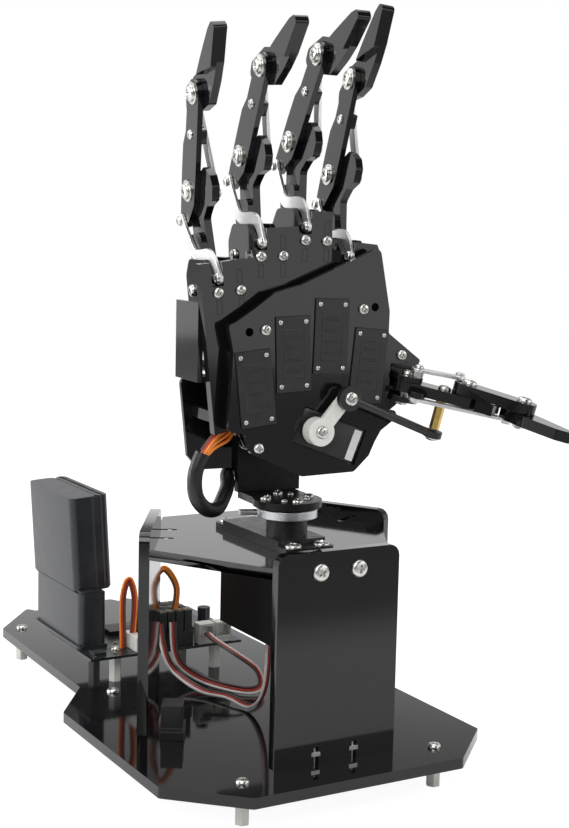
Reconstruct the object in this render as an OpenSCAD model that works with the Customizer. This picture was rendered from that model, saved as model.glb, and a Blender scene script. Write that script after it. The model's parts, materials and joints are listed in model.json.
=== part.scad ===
// Desktop robot hand: four coupled fingers and a thumb on a pan wrist,
// carried by a three-sided tower. Millimetres, palm faces -Y, thumb at +X.

/* [Display] */
// Which piece to draw, or all of them
// Wrist pan angle of the drawn pose
pan = -4.65; // [-90:0.05:90]

/* [Base] */
// Acrylic sheet of the base and tower
sheet = 6; // [4:0.5:8]
// Height of the nylon feet
foot_h = 15.5; // [8:0.5:30]
// Across-flats radius of the nylon hex pillars
hex_r = 4; // [3:0.25:6]
// Screw hole radius in the foot ends
foot_bore_r = 1.6; // [1.5:0.05:2.5]
// Radius of the screws and their threaded bores
thread_r = 1.4; // [1.1:0.05:1.5]
// Pillar height under the controller board
board_h = 17.9; // [8:0.1:30]

/* [Tower] */
// Panel width
panel_w = 74.5; // [60:0.5:90]
// Height of the panels above the top plate
panel_over = 8; // [6:0.1:20]
// Outer face of a panel from the pan axis
panel_out = 67.7; // [60:0.1:80]
// Open side of the top plate from the pan axis
open_out = 62; // [56:0.1:80]
// Underside height of the top plate
top_z = 121.6; // [100:0.1:140]
// Back edge of the top plate from the origin
back_out = 85.5; // [70:0.1:100]

/* [Wrist] */
// Width of the wrist servo
servo_w = 30.4; // [28:0.1:34]
// Length of the wrist servo case
servo_l = 66.5; // [60:0.1:70]
// Depth of the wrist servo case below the top plate
servo_drop = 48; // [36:0.5:52]
// Radius of the servo boss under the horn
boss_r = 11.5; // [8:0.5:14]
// Radius of the silver horn disc
horn_disc_r = 17; // [12:0.5:20]
// Radius of the black turntable disc
turn_r = 19.2; // [17.6:0.2:26]
// Height from the top plate to the underside of the horn disc
horn_up = 15.6; // [14:0.1:20]

/* [Palm] */
// Palm plate thickness
palm_t = 6; // [4:0.5:8]
// Front plate thickness
front_t = 4; // [3:0.5:6]
// Space between the two plates
plate_gap = 6; // [4:0.5:10]
// Window clearance round each servo
servo_gap = 0.15; // [0.05:0.05:0.4]

/* [Fingers] */
// Proximal pivot spacing
prox_len = 53.5; // [40:0.5:65]
// Middle bone pivot spacing
mid_len = 54; // [40:0.5:65]
// Fingertip length beyond its pivot
tip_len = 47; // [35:0.5:55]
// Ear sheet thickness
ear_t = 3; // [2:0.25:4]
// Pivot screw radius
pin_r = 2; // [1.5:0.1:2.5]
// Running clearance on pivots, radial
run_c = 0.06; // [0.02:0.01:0.1]
// Width of the curved aluminium link
s_w = 6.4; // [5:0.1:8]
// Width of the straight aluminium link
link_w = 6; // [5:0.1:8]

/* [Thumb] */
// First thumb bone pivot spacing
th1 = 34; // [26:0.5:42]
// Second thumb bone pivot spacing
th2 = 32; // [24:0.5:40]
// Thumb tip length beyond its pivot
th3 = 34; // [24:0.5:42]
// Distance of the pull post from the thumb root
post_x = 21.5; // [16:0.5:26]

/* [Hidden] */
$fn = 40;
black = [0.06, 0.06, 0.065];
silver = [0.78, 0.79, 0.8];
steel = [0.65, 0.66, 0.68];
white = [0.92, 0.92, 0.9];
deck = foot_h + sheet;
panel_h = top_z + sheet + panel_over - deck;
// turn and shift of the three panels
panel_at = [[0, 0, 0], [120, 9.8, 15.9], [240, -1.1, 12.3]];
// pan axis in the tower and in the hand's own frame, drawn at a turn of -4.65
wrist = [0.4, -10.3];
wrist_l = rot2(wrist, 4.65);
servo_y = 5.2;
ear_y = [-33, 43.4];
turn_bolts = [for (i = [0:3]) each [[13.3 * cos(90 * i), 13.3 * sin(90 * i), 2.8],
  [11 * cos(56 + 90 * i), 11 * sin(56 + 90 * i), 1.6]]];
ear_x = 8.8;
hand_datum = 127.6;
turn_z = hand_datum + horn_up + 6;
turn_t = 4;
stem_y = 14.5;
stem_t = 5;
feet = [[-59.5, -74.7], [59.5, -74.7], [-59.5, 90.5], [59.5, 90.5],
  [-59.5, 248.6], [59.5, 248.6]];
board_pts = [[-48.8, 111.9], [-42.5, 160], [20, 111.9], [20, 160]];
tab_x = [[-30, -17], [-6.4, 6.4], [17, 30]];
nut_x = 11.8;
bolt_z = top_z + sheet / 2;
foot_nut_z = deck + 5;
foot_grip = 5;
// finger frames: centre x, centre z, splay, rest flexion
fx = [-42.5, -18.5, 7.1, 32.7];
fz = [268, 286.6, 295.1, 279.3];
fs = [6.46, 2.29, -1.12, -5.19];
al = [-8, -2.6, -1.5, -11];
mcp_y = 5.5;
gnd = [-23, 7.5];
pq = 19;
q_off = 11.5;
gq = 54.7;
lug = [-18, -4.5];
tip_pin = [8.1, -14.1];
link_l = 48.4;
m1_back = -20;
m1_front = m1_back - palm_t;
m2_back = m1_front - plate_gap;
m2_front = m2_back - front_t;
sv = [[-31.05, 217.9], [-9.7, 235.7], [12.45, 244.9], [35.4, 228.7]];
sv_l = 40;
sv_w = 20;
ear_in = 4.9;
ear_out = ear_in + ear_t;
s_in = 2.95;
s_out = 4.75;
// solved linkage angles of one finger from its flexion
function pip(a) = [mcp_y - prox_len * sin(a), prox_len * cos(a)];
function qang(a) = let(v = pip(a) - gnd, d = norm(v))
  atan2(v[1], v[0]) - acos((gq * gq - d * d - pq * pq) / (2 * d * pq));
function beta(a) = qang(a) + 90 - q_off;
function qpt(a) = pip(a) + pq * [cos(qang(a)), sin(qang(a))];
function sang(a) = atan2(qpt(a)[1] - gnd[1], qpt(a)[0] - gnd[0]);
function gam(a) = beta(a) - a;
function rot2(v, t) = [v[0] * cos(t) - v[1] * sin(t), v[0] * sin(t) + v[1] * cos(t)];
function tw(a) = rot2(lug, -gam(a)) - [0, mid_len];
function tdir(a) = let(w = tw(a), d = norm(w), t = norm(tip_pin))
  atan2(w[1], w[0]) + acos((d * d + t * t - link_l * link_l) / (2 * d * t));
function del(a) = tdir(a) - atan2(tip_pin[1], tip_pin[0]);
function del1(a) = del(a) > 180 ? del(a) - 360 : (del(a) < -180 ? del(a) + 360 : del(a));
function tpt(a) = [0, mid_len] + rot2(tip_pin, del1(a));
function tlang(a) = let(t = rot2(tpt(a), gam(a)) - lug) atan2(t[1], t[0]);
function unit(v) = v / norm(v);
// rounded corner of a closed outline
function arc_c(a, b, c, r) = let(u = unit(a - b), v = unit(c - b),
  h = acos(max(-1, min(1, u * v))) / 2, o = b + unit(u + v) * r / sin(h),
  s = b + u * r / tan(h) - o, e = b + v * r / tan(h) - o,
  t = atan2(s[1], s[0]), d = atan2(e[1], e[0]) - t,
  k = d > 180 ? d - 360 : (d < -180 ? d + 360 : d))
  [for (i = [0:4]) o + r * [cos(t + k * i / 4), sin(t + k * i / 4)]];
function xy(p) = [p[0], p[1]];
function rp(p) = [for (i = [0:len(p) - 1]) let(n = len(p), b = p[i])
  each (len(b) < 3 ? [b] : arc_c(xy(p[(i + n - 1) % n]), xy(b), xy(p[(i + 1) % n]), b[2]))];
function fp(k, u, w) = [fx[k] + u * cos(fs[k]) - w * sin(fs[k]),
  fz[k] + u * sin(fs[k]) + w * cos(fs[k])];

// ---------- shared helpers ----------
module flat(z0, z1) {
  translate([0, 0, z0])
    linear_extrude(z1 - z0)
      children();
}
module rod(p, q, r, n = 16) {
  d = q - p;
  translate(p)
    rotate([0, acos(d[2] / norm(d)), atan2(d[1], d[0])])
      cylinder(r = r, h = norm(d), $fn = n);
}
module bar2(p, q, w) {
  translate(p)
    rotate(atan2(q[1] - p[1], q[0] - p[0]))
      translate([0, -w / 2])
        square([norm(q - p), w]);
}
module strip(pts, w) {
  for (i = [0:len(pts) - 2]) {
    bar2(pts[i], pts[i + 1], w);
    if (i > 0)
      translate(pts[i])
        circle(d = w, $fn = 20);
  }
}
// outline of even width along a centreline
function side(p, i, w) = let(m = len(p) - 1, a = unit(p[min(i + 1, m)] - p[i - (i == m ? 1 : 0)]),
  b = unit(p[i + (i == 0 ? 1 : 0)] - p[max(i - 1, 0)]), d = unit(a + b), k = max(0.6, d * a))
  p[i] + [-d[1], d[0]] * w / k;
function band(p, w) = concat([for (i = [0:len(p) - 1]) side(p, i, w / 2)],
  [for (i = [len(p) - 1:-1:0]) side(p, i, -w / 2)]);
module hand() {
  translate([wrist[0], wrist[1], top_z + sheet - hand_datum])
    rotate([0, 0, pan])
      translate([-wrist_l[0], -wrist_l[1], 0])
        children();
}
module at_panel(i) {
  translate([panel_at[i][1], panel_at[i][2], 0])
    rotate([0, 0, panel_at[i][0]])
      children();
}
// plate parallel to the palm from an x-z outline
module ply_y(y0, y1) {
  translate([0, y1, 0])
    rotate([90, 0, 0])
      linear_extrude(y1 - y0)
        children();
}
module pin_y(x, z, y0, y1, r) {
  translate([x, y1, z])
    rotate([90, 0, 0])
      cylinder(r = r, h = y1 - y0);
}
// ply square to a finger's pivots from a y-w outline
module ply_u(u0, u1) {
  translate([u0, 0, 0])
    rotate([90, 0, 90])
      linear_extrude(u1 - u0)
        children();
}
module pin_u(p, u0, u1, r, n = 40) {
  translate([u0, p[0], p[1]])
    rotate([0, 90, 0])
      cylinder(r = r, h = u1 - u0, $fn = n);
}
module ff(k) {
  hand()
    translate([fx[k], 0, fz[k]])
      rotate([0, -fs[k], 0])
        children();
}
module pf(k) {
  ff(k)
    translate([0, mcp_y, 0])
      rotate([al[k], 0, 0])
        children();
}
module mf(k) {
  pf(k)
    translate([0, 0, prox_len])
      rotate([gam(al[k]), 0, 0])
        children();
}
module df(k) {
  mf(k)
    translate([0, 0, mid_len])
      rotate([del1(al[k]), 0, 0])
        children();
}
// swept cable through chosen points
module cable(pts, r, n = 8) {
  m = len(pts);
  t = [for (i = [0:m - 1]) unit(pts[min(i + 1, m - 1)] - pts[max(i - 1, 0)])];
  a = [for (v = t) unit(cross(v, abs(v[2]) > 0.8 ? [0, 1, 0] : [0, 0, 1]))];
  b = [for (i = [0:m - 1]) cross(t[i], a[i])];
  v = [for (i = [0:m - 1]) for (j = [0:n - 1])
    pts[i] + r * (a[i] * cos(360 * j / n) + b[i] * sin(360 * j / n))];
  side = [for (i = [0:m - 2]) for (j = [0:n - 1])
    [i * n + j, (i + 1) * n + j, (i + 1) * n + (j + 1) % n, i * n + (j + 1) % n]];
  e0 = [for (j = [0:n - 1]) j];
  e1 = [for (j = [n - 1:-1:0]) (m - 1) * n + j];
  polyhedron(concat([e0, e1], side) == [] ? [] : v, concat([e0, e1], side));
}
// smooth route through control points
function cr(p, i, s) = let(n = len(p) - 1, a = p[max(i - 1, 0)], b = p[i],
  c = p[i + 1], d = p[min(i + 2, n)])
  0.5 * (2 * b + (c - a) * s + (2 * a - 5 * b + 4 * c - d) * s * s
  + (3 * b - a - 3 * c + d) * s * s * s);
function route(p, k) = concat([for (i = [0:len(p) - 2]) for (j = [0:k - 1])
  cr(p, i, j / k)], [p[len(p) - 1]]);

// ---------- base and tower ----------
module base_plate() {
  out = [[-64, -95.4, 3], [64, -95.4, 3], [100, -60.8, 3], [100, 68.5, 3],
    [73.5, 108.3, 3], [71.5, 253.5, 3], [38, 297, 2], [33, 287, 2], [28, 297, 2],
    [-28, 297, 2], [-33, 287, 2], [-38, 297, 2], [-71.5, 253.5, 3],
    [-73.5, 108.3, 3], [-100, 68.5, 3], [-100, -60.8, 3]];
  color(black)
    difference() {
      flat(foot_h, deck)
        polygon(rp(out));
      for (f = concat(feet, board_pts))
        translate([f[0], f[1], 0])
          cylinder(r = thread_r, h = 60, $fn = 24);
      for (i = [0:2])
        at_panel(i) {
          for (t = tab_x)
            translate([t[0], -panel_out, foot_h - 1])
              cube([t[1] - t[0], sheet, sheet + 2]);
          for (s = [-1, 1])
            translate([s * nut_x, -panel_out + sheet / 2, 0])
              cylinder(r = 1.6, h = 60, $fn = 24);
        }
    }
}
// hex pillar, threaded above a plain bore of the given depth
module hexp(p, z, h, plain) {
  difference() {
    translate([p[0], p[1], z])
      cylinder(r = hex_r, h = h, $fn = 6);
    translate([p[0], p[1], z - 1])
      cylinder(r = thread_r, h = h + 2, $fn = 24);
    if (plain > 0)
      translate([p[0], p[1], z - 1])
        cylinder(r = foot_bore_r, h = plain + 1, $fn = 24);
  }
}
module nylon_pillars() {
  color(white) {
    for (f = feet)
      hexp(f, 0, foot_h, foot_h - foot_grip - 0.3);
    for (b = board_pts)
      hexp(b, deck, board_h, 0);
  }
}
module button(p, z, r, h, depth) {
  translate([p[0], p[1], z])
    cylinder(r = r, h = h, $fn = 32);
  translate([p[0], p[1], z - depth])
    cylinder(r = thread_r, h = depth + 0.1, $fn = 24);
}
module base_screws() {
  color(steel) {
    for (f = feet)
      button(f, deck, 3.6, 2.4, sheet + foot_grip);
    for (b = board_pts) {
      button(b, deck + board_h + 1.6, 2.9, 2, 8);
      translate([b[0], b[1], foot_h - 2])
        cylinder(r = 2.9, h = 2, $fn = 32);
      translate([b[0], b[1], foot_h - 0.1])
        cylinder(r = thread_r, h = sheet + 6, $fn = 24);
    }
    for (i = [0:2])
      at_panel(i)
        for (s = [-1, 1]) {
          pin_y(s * nut_x, bolt_z, -panel_out - 2.2, -panel_out, 4.7);
          pin_y(s * nut_x, bolt_z, -panel_out, -50.6, 1.5);
          translate([s * nut_x - 2.75, -56, bolt_z - 2.75])
            cube([5.5, 2.4, 5.5]);
          translate([s * nut_x, -panel_out + sheet / 2, foot_h - 2.2])
            cylinder(r = 3.2, h = 2.2, $fn = 32);
          translate([s * nut_x, -panel_out + sheet / 2, foot_h])
            cylinder(r = 1.5, h = sheet + 8, $fn = 24);
          translate([s * nut_x - 2.75, -panel_out + 0.2, foot_nut_z - 1.2])
            cube([5.5, 5.5, 2.4]);
        }
  }
}
module panel(i) {
  h = panel_h;
  w = panel_w / 2;
  color(black)
    at_panel(i)
      difference() {
        ply_y(-panel_out, -panel_out + sheet)
          difference() {
            union() {
              polygon(rp([[-w, deck], [w, deck], [w, deck + h, 6], [-w, deck + h, 6]]));
              for (t = tab_x)
                translate([t[0], foot_h])
                  square([t[1] - t[0], sheet + 1]);
            }
            for (t = tab_x)
              translate([t[0], top_z])
                square([t[1] - t[0], sheet]);
            for (s = [-1, 1]) {
              translate([s * nut_x - 1.5, deck - 1])
                square([3, 10]);
              translate([s * nut_x - 2.75, foot_nut_z - 1.2])
                square([5.5, 2.4]);
            }
          }
        for (s = [-1, 1])
          pin_y(s * nut_x, bolt_z, -panel_out - 1, -panel_out + sheet + 1, 1.6);
      }
}
module half_in(a, d) {
  rotate(a)
    translate([-120, -d])
      square([240, 240]);
}
// inner face of a panel from the origin
function inner(i) = let(p = panel_at[i])
  panel_out - sheet + p[1] * sin(p[0]) - p[2] * cos(p[0]);
module top_plate() {
  color(black)
    difference() {
      union() {
        flat(top_z, top_z + sheet)
          intersection() {
            half_in(0, inner(0));
            half_in(120, inner(1));
            half_in(240, inner(2));
            half_in(60, open_out);
            half_in(300, open_out);
            half_in(180, back_out);
          }
        for (i = [0:2])
          at_panel(i)
            for (t = tab_x)
              translate([t[0], -panel_out, top_z])
                cube([t[1] - t[0], sheet + 2, sheet]);
      }
      for (i = [0:2])
        at_panel(i)
          for (s = [-1, 1]) {
            translate([s * nut_x - 1.5, -70, top_z - 1])
              cube([3, 19.4, sheet + 2]);
            translate([s * nut_x - 2.75, -56, top_z - 1])
              cube([5.5, 2.4, sheet + 2]);
          }
      // window for the wrist servo
      translate([wrist[0] - servo_w / 2 - 0.2, servo_y - servo_l / 2 - 0.2, top_z - 1])
        cube([servo_w + 0.4, servo_l + 0.4, sheet + 2]);
      for (x = [-ear_x, ear_x])
        for (y = ear_y)
          translate([wrist[0] + x, y, top_z - 1])
            cylinder(r = 1.6, h = sheet + 2, $fn = 24);
    }
}
module wrist_servo() {
  z = top_z + sheet;
  w = servo_w / 2;
  l = servo_l / 2;
  color([0.1, 0.1, 0.11])
    translate([wrist[0], 0, 0])
      difference() {
        union() {
          // ears on the top plate
          flat(z, z + 3)
            polygon(rp([[-w, servo_y - l - 9.5, 3], [w, servo_y - l - 9.5, 3],
              [w, servo_y + l + 9.5, 3], [-w, servo_y + l + 9.5, 3]]));
          // case through the window
          translate([-w, servo_y - l, z - sheet - servo_drop])
            cube([servo_w, servo_l, servo_drop + sheet + 0.1]);
          flat(z + 2.9, z + 5.8)
            polygon(rp([[-w, servo_y - l, 2], [w, servo_y - l, 2], [w, servo_y + l, 2], [-w, servo_y + l, 2]]));
          translate([0, wrist[1], z + 5])
            cylinder(r = boss_r, h = horn_up - 5.1);
        }
        for (x = [-ear_x, ear_x])
          for (y = ear_y)
            translate([x, y, z - 1])
              cylinder(r = 1.6, h = 6, $fn = 24);
      }
  color(steel)
    for (x = [-ear_x, ear_x])
      for (y = ear_y)
        translate([wrist[0] + x, y, 0]) {
          translate([0, 0, z + 3])
            cylinder(r = 4.3, h = 2.2, $fn = 32);
          translate([0, 0, top_z - 3])
            cylinder(r = 1.6, h = sheet + 6.1, $fn = 24);
          translate([0, 0, top_z - 2.4])
            cylinder(r = 3.2, h = 2.4, $fn = 6);
        }
}
module controller_board() {
  z = deck + board_h;
  color([0.05, 0.06, 0.07])
    difference() {
      translate([-70.7, 98, z])
        cube([102.7, 70, 1.6]);
      for (b = board_pts)
        translate([b[0], b[1], z - 1])
          cylinder(r = thread_r, h = 4, $fn = 24);
    }
}
module board_headers() {
  z = deck + board_h + 1.6;
  color([0.08, 0.08, 0.085]) {
    for (r = [0:2])
      for (c = [0:4])
        translate([-29 + c * 5.8, 103 + r * 9, z])
          cube([5.2, 7.5, 22]);
    translate([-30, 102, z])
      cube([30, 27, 8.5]);
    translate([12.5, 113, z])
      cylinder(d = 8, h = 20);
    rotate([0, 0, 240]) {
      translate([12, 0.2 + sheet - panel_out, deck])
        cube([23, 13, 5]);
      translate([15, 0.2 + sheet - panel_out, deck + 4.9])
        cube([14, 12, 13]);
    }
    translate([-40, 140, z])
      cube([16, 16, 3]);
  }
}
module board_connectors() {
  z = deck + board_h + 1.6;
  color(white) {
    for (x = [2.5, 14.5])
      difference() {
        translate([x, 98.5, z])
          cube([10.5, 8, 13]);
        translate([x + 1, 97, z + 4])
          cube([8.5, 7, 7]);
      }
    translate([-10, 132, z])
      cube([10, 8, 12]);
    translate([-40, 100, z])
      cube([6, 20, 9]);
  }
}
module receiver() {
  z = deck + board_h + 1.6;
  color([0.12, 0.12, 0.125]) {
    flat(z, z + 2.5)
      polygon(rp([[-70.5, 118.8, 3], [-50.2, 118.8, 3], [-50.2, 196, 3], [-70.5, 196, 3]]));
    flat(z + 2.4, z + 35)
      polygon(rp([[-69, 120, 4], [-51, 120, 4], [-51, 195, 4], [-69, 195, 4]]));
    // the body leans a little outwards
    translate([-56.6, 163.5, z + 34.5])
      rotate([0, -3.5, 0])
        flat(0, 59.5)
          polygon(rp([[-12.5, -36.5, 5], [12.5, -36.5, 5], [12.5, 36.5, 5], [-12.5, 36.5, 5]]));
  }
}
module servo_cables() {
  color([0.75, 0.2, 0.12])
    cable(route([[7.7, 98.3, 48], [9, 89, 45.5], [14, 70, 41], [21, 57, 34], [19, 49, 26],
      [8, 52, 24.5], [-6, 78, 26], [-16, 92, 36], [-15, 101, 57]], 2), 1.6);
  color([0.85, 0.8, 0.78])
    cable(route([[-24, 101, 57], [-24, 92, 40], [-20, 84, 30], [-14, 62, 24.6], [-6, 44, 25],
      [-2, 22, 25], [-1, 8, 40], [0, 6, top_z - servo_drop - 0.1]], 2), 1.6);
  color([0.9, 0.42, 0.1]) {
    cable(route([[-11, 107, 63.4], [-10, 107, 78], [-19, 107, 90], [-28, 107, 78], [-27, 107, 63.4]], 2), 1.5);
    cable(route([[-37, 112, 50.2], [-36, 112, 72], [-40, 112, 84], [-44, 112, 72], [-43.5, 112, 41.2]], 2), 1.5);
  }
}

// ---------- hand ----------
module at_pan() {
  hand()
    translate([wrist_l[0], wrist_l[1], hand_datum])
      children();
}
module wrist_horn() {
  color(silver)
    at_pan() {
      translate([0, 0, horn_up])
        cylinder(r = horn_disc_r, h = 5);
      translate([0, 0, horn_up + 4.9])
        cylinder(r = 8, h = 1.1);
      rotate([0, 0, 166])
        translate([horn_disc_r - 2, -3, horn_up + 1.3])
          cube([12, 6, 2.4]);
    }
}
module turntable() {
  color(black)
    at_pan()
      difference() {
        union() {
          translate([0, 0, horn_up + 6])
            cylinder(r = turn_r, h = turn_t);
          // tongue under the stem
          translate([-17, 0, horn_up + 6])
            cube([34, stem_y + stem_t - wrist_l[1], turn_t]);
        }
        for (b = turn_bolts)
          translate([b[0], b[1], horn_up + 5])
            cylinder(r = b[2] / 2, h = 6, $fn = 24);
      }
}
module stem_bracket() {
  color(black)
    hand() {
      difference() {
        translate([wrist_l[0] - 19.2, stem_y, turn_z + turn_t])
          cube([38.4, stem_t, 206 - turn_z - turn_t]);
        for (x = [-9, 9])
          pin_y(wrist_l[0] + x, 198, stem_y - 1, stem_y + stem_t + 1, 1.6);
      }
      // shelf to the back of the palm
      translate([-4, m1_back, 173])
        cube([23, stem_y - m1_back, 3.5]);
    }
}
module servo_cut(k, c = servo_gap) {
  translate(sv[k])
    rotate(fs[k])
      translate([-sv_w / 2 - c, -sv_l / 2 - c])
        square([sv_w + 2 * c, sv_l + 2 * c]);
}
th_ax = [4.1, 194.5];
th_tilt = -21;
module th_cut(c = servo_gap) {
  translate(th_ax)
    rotate(th_tilt)
      translate([-10 - c, -10 - c])
        square([40 + 2 * c, 20 + 2 * c]);
}
plate_bolts = [[-25.9, 248.5], [31.6, 259.2], [-28.6, 186], [56, 234]];
module palm_plate() {
  f1 = [fp(0, -15.5, -74), fp(0, -15.5, 16), fp(0, -9.5, 16), fp(0, -9.5, 3.5),
    fp(0, -2.85, 3.5), fp(0, -2.85, 16), fp(0, 11.5, 16.3)];
  f2 = [fp(1, -9.5, -0.5), fp(1, -9.5, 3.5), fp(1, -2.85, 3.5), fp(1, -2.85, 15), fp(1, 15.6, 15.5)];
  f3 = [fp(2, -9.6, 3.5), fp(2, -2.85, 3.5), fp(2, -2.85, 15.8), fp(2, 9.5, 15.8)];
  f4 = [fp(3, -16.2, 3.5), fp(3, -2.85, 3.5), fp(3, -2.85, 15.4), fp(3, 10.5, 15.4)];
  side = [[46.3, 289.7], [46.5, 264.7], [52.4, 257.5], [52.2, 245.4], [73.8, 229.5],
    [66, 212], [60, 206], [44, 194], [38, 182], [29, 173], [-3, 172], [-32, 185], [-37, 195]];
  color(black)
    hand()
      difference() {
        ply_y(m1_front, m1_back)
          difference() {
            polygon([for (p = concat(f1, f2, f3, f4, side)) p]);
            for (k = [0:3]) {
              servo_cut(k);
              // slots for the ear tabs
              translate([fx[k], fz[k]])
                rotate(fs[k]) {
                  translate([ear_in, 4])
                    square([ear_t, 7]);
                  translate([ear_in, -11])
                    square([ear_t, 7]);
                  translate([-ear_out, -11])
                    square([ear_t, 7]);
                }
            }
            th_cut();
          }
        for (k = [0:3])
          for (s = [-1, 1])
            translate([fx[k], 0, fz[k]])
              rotate([0, -fs[k], 0])
                pin_y(s * 6.4, 0, -40, 0, 1.6);
        for (b = plate_bolts)
          pin_y(b[0], b[1], -40, 0, 1.6);
      }
}
module front_plate() {
  out = [[-43.7, 252.3, 2], [-32.5, 259.5, 2], [-21.2, 267.8, 2], [-6.2, 272, 2], [12.5, 280, 2],
    [41.2, 292.6, 3], [48, 258.1, 2], [47.8, 246.1, 2], [69.1, 230.4, 1], [66, 229.6], [49.5, 229.6, 1],
    [48.6, 203.5, 1], [60.5, 203.5], [59.4, 202.3], [51.4, 197.6, 2], [44.6, 192.8, 2], [41.1, 186.9, 2],
    [37.6, 179.3, 3], [28.6, 170.8, 3], [-2.9, 169.7, 4], [-32.5, 183, 4], [-36.8, 193.8, 3],
    [-46.5, 195.8, 3], [-43.9, 237.2, 3], [-47, 251.3, 2]];
  color(black)
    hand()
      difference() {
        ply_y(m2_front, m2_back)
          difference() {
            polygon(rp(out));
            for (k = [0:3])
              servo_cut(k);
            th_cut();
          }
        for (b = plate_bolts)
          pin_y(b[0], b[1], -50, 0, 1.6);
        pin_y(-35.1, 247.5, -50, 0, 2.25);
        pin_y(38.9, 260.3, -50, 0, 2.25);
      }
}
module servo_at(k) {
  translate([sv[k][0], 0, sv[k][1]])
    rotate([0, -fs[k], 0])
      children();
}
module finger_servos() {
  color([0.09, 0.09, 0.1])
    hand()
      for (k = [0:3])
        servo_at(k) {
          difference() {
            union() {
              translate([-sv_w / 2, -37, -sv_l / 2])
                cube([sv_w, 36.5, sv_l]);
              translate([-sv_w / 2, -10.5, -27])
                cube([sv_w, 2.5, 54]);
              pin_y(0, 10, -0.6, 1.2, 6);
            }
            for (x = [-5, 5])
              for (z = [-24.7, 24.7])
                pin_y(x, z, -12, -6, 1.6);
          }
          pin_y(0, 10, 1, 3.2, 2.9);
        }
}
module thumb_servo() {
  color([0.09, 0.09, 0.1])
    hand()
      translate([th_ax[0], 0, th_ax[1]])
        rotate([0, -th_tilt, 0]) {
          translate([-10, -34.5, -10])
            cube([40, 36, 20]);
          translate([-17, m1_back, -10])
            cube([54, 2.5, 20]);
          pin_y(0, 0, -36.5, -34, 6.5);
          pin_y(0, 0, -38, -36, 2.9);
        }
}
module ear_outline(tabs) {
  difference() {
    union() {
      polygon(rp([[m1_back, -13, 1], [10, -13, 4], [14, -7, 4], [14, 8, 5], [8, 17, 5],
        [-12, 17, 2], [m1_back, 9, 2]]));
      for (t = tabs)
        translate([m1_front, t])
          square([palm_t + 1, 7]);
    }
    translate([m1_back - 1, -1.5])
      square([11.5, 3]);
    translate([-14.4, -2.75])
      square([2.4, 5.5]);
  }
}
module pivot_ears() {
  color(black) {
    for (k = [0:3])
      ff(k)
        difference() {
          union() {
            ply_u(ear_in, ear_out)
              ear_outline([4, -11]);
            ply_u(-ear_out, -ear_in)
              ear_outline([-11]);
          }
          pin_u([mcp_y, 0], -10, 10, pin_r);
        }
    // thumb root bracket
    tf()
      difference() {
        union() {
          flat(3.3, 6.3)
            thumb_ear(10.6);
          flat(-8.4, -5.4)
            thumb_ear(8.6);
        }
        translate([0, 0, -12])
          cylinder(r = pin_r, h = 24);
      }
  }
}
module thumb_ear(back) {
  polygon(rp([[-8.5, -4, 2], [-5, -8, 4], [6, -8, 4], [8.5, 0, 4], [6, back, 1], [-8.5, back, 1]]));
}
module tf() {
  hand()
    translate([59, -36, 217.5])
      rotate([10, 0, 0])
        rotate([0, 9, 0])
          children();
}
module palm_hardware() {
  color(steel) {
    for (k = [0:3])
      ff(k) {
        for (s = [-1, 1]) {
          pin_y(s * 6.4, 0, m1_front - 2.2, m1_front, 2.9);
          pin_y(s * 6.4, 0, m1_front, -9.5, 1.5);
          translate([s * 6.4 - 2.75, -14.4, -2.75])
            cube([5.5, 2.4, 5.5]);
        }
        pin_u([mcp_y, 0], -ear_out - 2.1, ear_out + 2.4, pin_r);
        pin_u([mcp_y, 0], -ear_out - 2.1, -ear_out, 3.5);
        pin_u([mcp_y, 0], ear_out, ear_out + 2.4, 3.4, 6);
        pin_u([mcp_y, 0], -ear_in, 0.3, 3.6);
        pin_u(gnd, -s_out - 0.05 - 1.8, -s_out - 0.05, 2.7);
        pin_u(gnd, -s_out - 0.05, -2.85, 1.6);
      }
    hand() {
      for (b = plate_bolts) {
        pin_y(b[0], b[1], m2_front - 2, m2_front, 2.9);
        pin_y(b[0], b[1], m2_front, m1_back, 1.6);
        difference() {
          pin_y(b[0], b[1], m2_back, m1_front, 3);
          pin_y(b[0], b[1], m2_back - 1, m1_front + 1, 1.6);
        }
        pin_y(b[0], b[1], m1_back, m1_back + 2.4, 3);
      }
      for (k = [0:3])
        servo_at(k)
          for (x = [-5, 5])
            for (z = [-24.7, 24.7]) {
              pin_y(x, z, m1_back, -10.5, 2.5);
              pin_y(x, z, -10.5, -6, 1.6);
            }
      // back plate screws
      for (x = [-9, 9]) {
        pin_y(wrist_l[0] + x, 198, stem_y - 1.8, stem_y, 2.9);
        pin_y(wrist_l[0] + x, 198, stem_y, stem_y + stem_t + 3, 1.6);
      }
    }
    at_pan()
      for (b = turn_bolts)
        translate([b[0], b[1], horn_up + 6]) {
          translate([0, 0, turn_t])
            cylinder(r = b[2] + 0.1, h = 1.9, $fn = 24);
          cylinder(r = b[2] / 2, h = turn_t + 0.1, $fn = 24);
        }
    tf() {
      translate([0, 0, -10.6])
        cylinder(r = pin_r, h = 19.1);
      translate([0, 0, 6.3])
        cylinder(r = 4, h = 2.2);
      translate([0, 0, -10.8])
        cylinder(r = 3.6, h = 2.4, $fn = 6);
      translate([tl_g[0], tl_g[1], 6.3])
        cylinder(r = 1.6, h = 5.1, $fn = 24);
      difference() {
        translate([tl_g[0], tl_g[1], 6.3])
          cylinder(r = 3.4, h = 3.1);
        translate([0, 0, 6])
          cylinder(r = 4.01, h = 2.6);
      }
      translate([tl_g[0], tl_g[1], 11.36])
        cylinder(r = 2.9, h = 1.8);
    }
  }
}
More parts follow.
